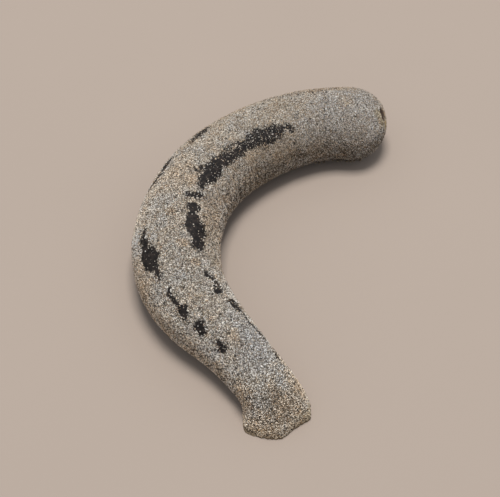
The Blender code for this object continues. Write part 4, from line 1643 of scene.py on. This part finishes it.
def facing_view(data, towards, distance):
    """An object for a light or a camera, set in a direction from the view's middle and facing it."""
    made = bpy.data.objects.new(data.name, data)
    bpy.context.scene.collection.objects.link(made)
    made.location = VIEW_TARGET + towards * distance
    made.rotation_euler = towards.to_track_quat("Z", "Y").to_euler()
    return made


def build_floor(settings):
    bm = bmesh.new()
    bmesh.ops.create_circle(bm, cap_ends=True, segments=96, radius=FLOOR_RADIUS)
    mesh = mesh_of(bm, "floor")
    mesh.materials.append(floor_material(settings.floor_colour))
    floor = bpy.data.objects.new("floor", mesh)
    bpy.context.scene.collection.objects.link(floor)
    floor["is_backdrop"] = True


def light_stage(scene, settings):
    """One large soft light almost overhead, a little beyond the animal, and an even sky."""
    light = bpy.data.lights.new("key", "AREA")
    light.size = KEY_SIZE
    light.energy = settings.key_power
    light.color = KEY_COLOUR
    facing_view(light, Vector((0, math.cos(KEY_ELEVATION), math.sin(KEY_ELEVATION))), KEY_DISTANCE)
    world = bpy.data.worlds.new("studio")
    world.use_nodes = True
    background = world.node_tree.nodes["Background"]
    background.inputs["Color"].default_value = SKY_COLOUR
    background.inputs["Strength"].default_value = settings.sky_strength
    scene.world = world
    scene.view_settings.view_transform = "Standard"


def place_camera(scene, settings):
    lens = bpy.data.cameras.new("camera")
    lens.sensor_width = SENSOR
    lens.lens = LENS
    lens.clip_start = 0.01
    back = Vector((0, -math.cos(settings.elevation), math.sin(settings.elevation)))
    scene.camera = facing_view(lens, back, settings.distance)


# ---------------- the operators


class SEACUCUMBER_OT_skin(Operator):
    """Model the one skin of the body, from the tail's end to the recess of the mouth"""

    bl_idname = "sea_cucumber.skin"
    bl_label = "Skin"

    def execute(self, context):
        build_skin(context.scene.sea_cucumber_skin)
        return {"FINISHED"}


class SEACUCUMBER_OT_coat(Operator):
    """Lay the coat of sand on the skin, and the papillae that poke through it"""

    bl_idname = "sea_cucumber.coat"
    bl_label = "Sand and papillae"

    def execute(self, context):
        scene = context.scene
        draws = np.random.default_rng(SEED)
        spots, radii = papilla_spots(scene.sea_cucumber_feet.papillae, draws)
        build_papillae(spots, radii, scene.sea_cucumber_skin, draws)
        pits = spots.places, radii + PAPILLA_PIT
        for layer in LAYERS:
            lay_coat(layer, scene.sea_cucumber_coat, scene.sea_cucumber_skin, pits, draws)
        return {"FINISHED"}


class SEACUCUMBER_OT_feet(Operator):
    """Grow the tube feet under the sole"""

    bl_idname = "sea_cucumber.feet"
    bl_label = "Tube feet"

    def execute(self, context):
        scene = context.scene
        draws = np.random.default_rng(SEED + 1)
        build_feet(scene.sea_cucumber_feet, scene.sea_cucumber_skin, draws)
        return {"FINISHED"}


class SEACUCUMBER_OT_mouth(Operator):
    """Model the oral disc with its mouth, and the tentacles round it"""

    bl_idname = "sea_cucumber.mouth"
    bl_label = "Mouth"

    def execute(self, context):
        build_disc(context.scene.sea_cucumber_mouth)
        build_tentacles(context.scene.sea_cucumber_mouth)
        return {"FINISHED"}


class SEACUCUMBER_OT_stage(Operator):
    """Set the plain floor, the soft light and the camera"""

    bl_idname = "sea_cucumber.stage"
    bl_label = "Stage"

    def execute(self, context):
        settings = context.scene.sea_cucumber_stage
        build_floor(settings)
        light_stage(context.scene, settings)
        place_camera(context.scene, settings)
        return {"FINISHED"}


# ---------------- the add-on


class SEACUCUMBER_PT_panel(Panel):
    """The pieces of the sea cucumber and their settings"""

    bl_idname = "SEACUCUMBER_PT_panel"
    bl_label = "Sea cucumber"
    bl_space_type = "VIEW_3D"
    bl_region_type = "UI"
    bl_category = "Sea cucumber"

    def draw(self, context):
        for operator, _, setting in STEPS:
            box = self.layout.box()
            box.operator(operator.bl_idname)
            values = getattr(context.scene, setting)
            for name in values.bl_rna.properties.keys():
                if name not in ("name", "rna_type"):
                    box.prop(values, name)


STEPS = (  # operator, the group of its settings, their name in the scene
    (SEACUCUMBER_OT_skin, SkinSettings, "sea_cucumber_skin"),
    (SEACUCUMBER_OT_coat, CoatSettings, "sea_cucumber_coat"),
    (SEACUCUMBER_OT_feet, FeetSettings, "sea_cucumber_feet"),
    (SEACUCUMBER_OT_mouth, MouthSettings, "sea_cucumber_mouth"),
    (SEACUCUMBER_OT_stage, StageSettings, "sea_cucumber_stage"),
)


def register():
    for operator, group, setting in STEPS:
        bpy.utils.register_class(group)
        setattr(bpy.types.Scene, setting, PointerProperty(type=group))
        bpy.utils.register_class(operator)
    bpy.utils.register_class(SEACUCUMBER_PT_panel)


def unregister():
    bpy.utils.unregister_class(SEACUCUMBER_PT_panel)
    for operator, group, setting in STEPS:
        bpy.utils.unregister_class(operator)
        delattr(bpy.types.Scene, setting)
        bpy.utils.unregister_class(group)


def write_sizes():
    """Gathers the box of the solids and that of the finished model, and keeps neither."""
    boxes = {"cad": CAD_BOX, "visual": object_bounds()}
    {name: [list(corner) for corner in box] for name, box in boxes.items()}


def main():
    register()
    bpy.ops.sea_cucumber.skin()
    bpy.ops.sea_cucumber.coat()
    bpy.ops.sea_cucumber.feet()
    bpy.ops.sea_cucumber.mouth()
    bpy.ops.sea_cucumber.stage()
    write_sizes()


if __name__ == "__main__":
    main()
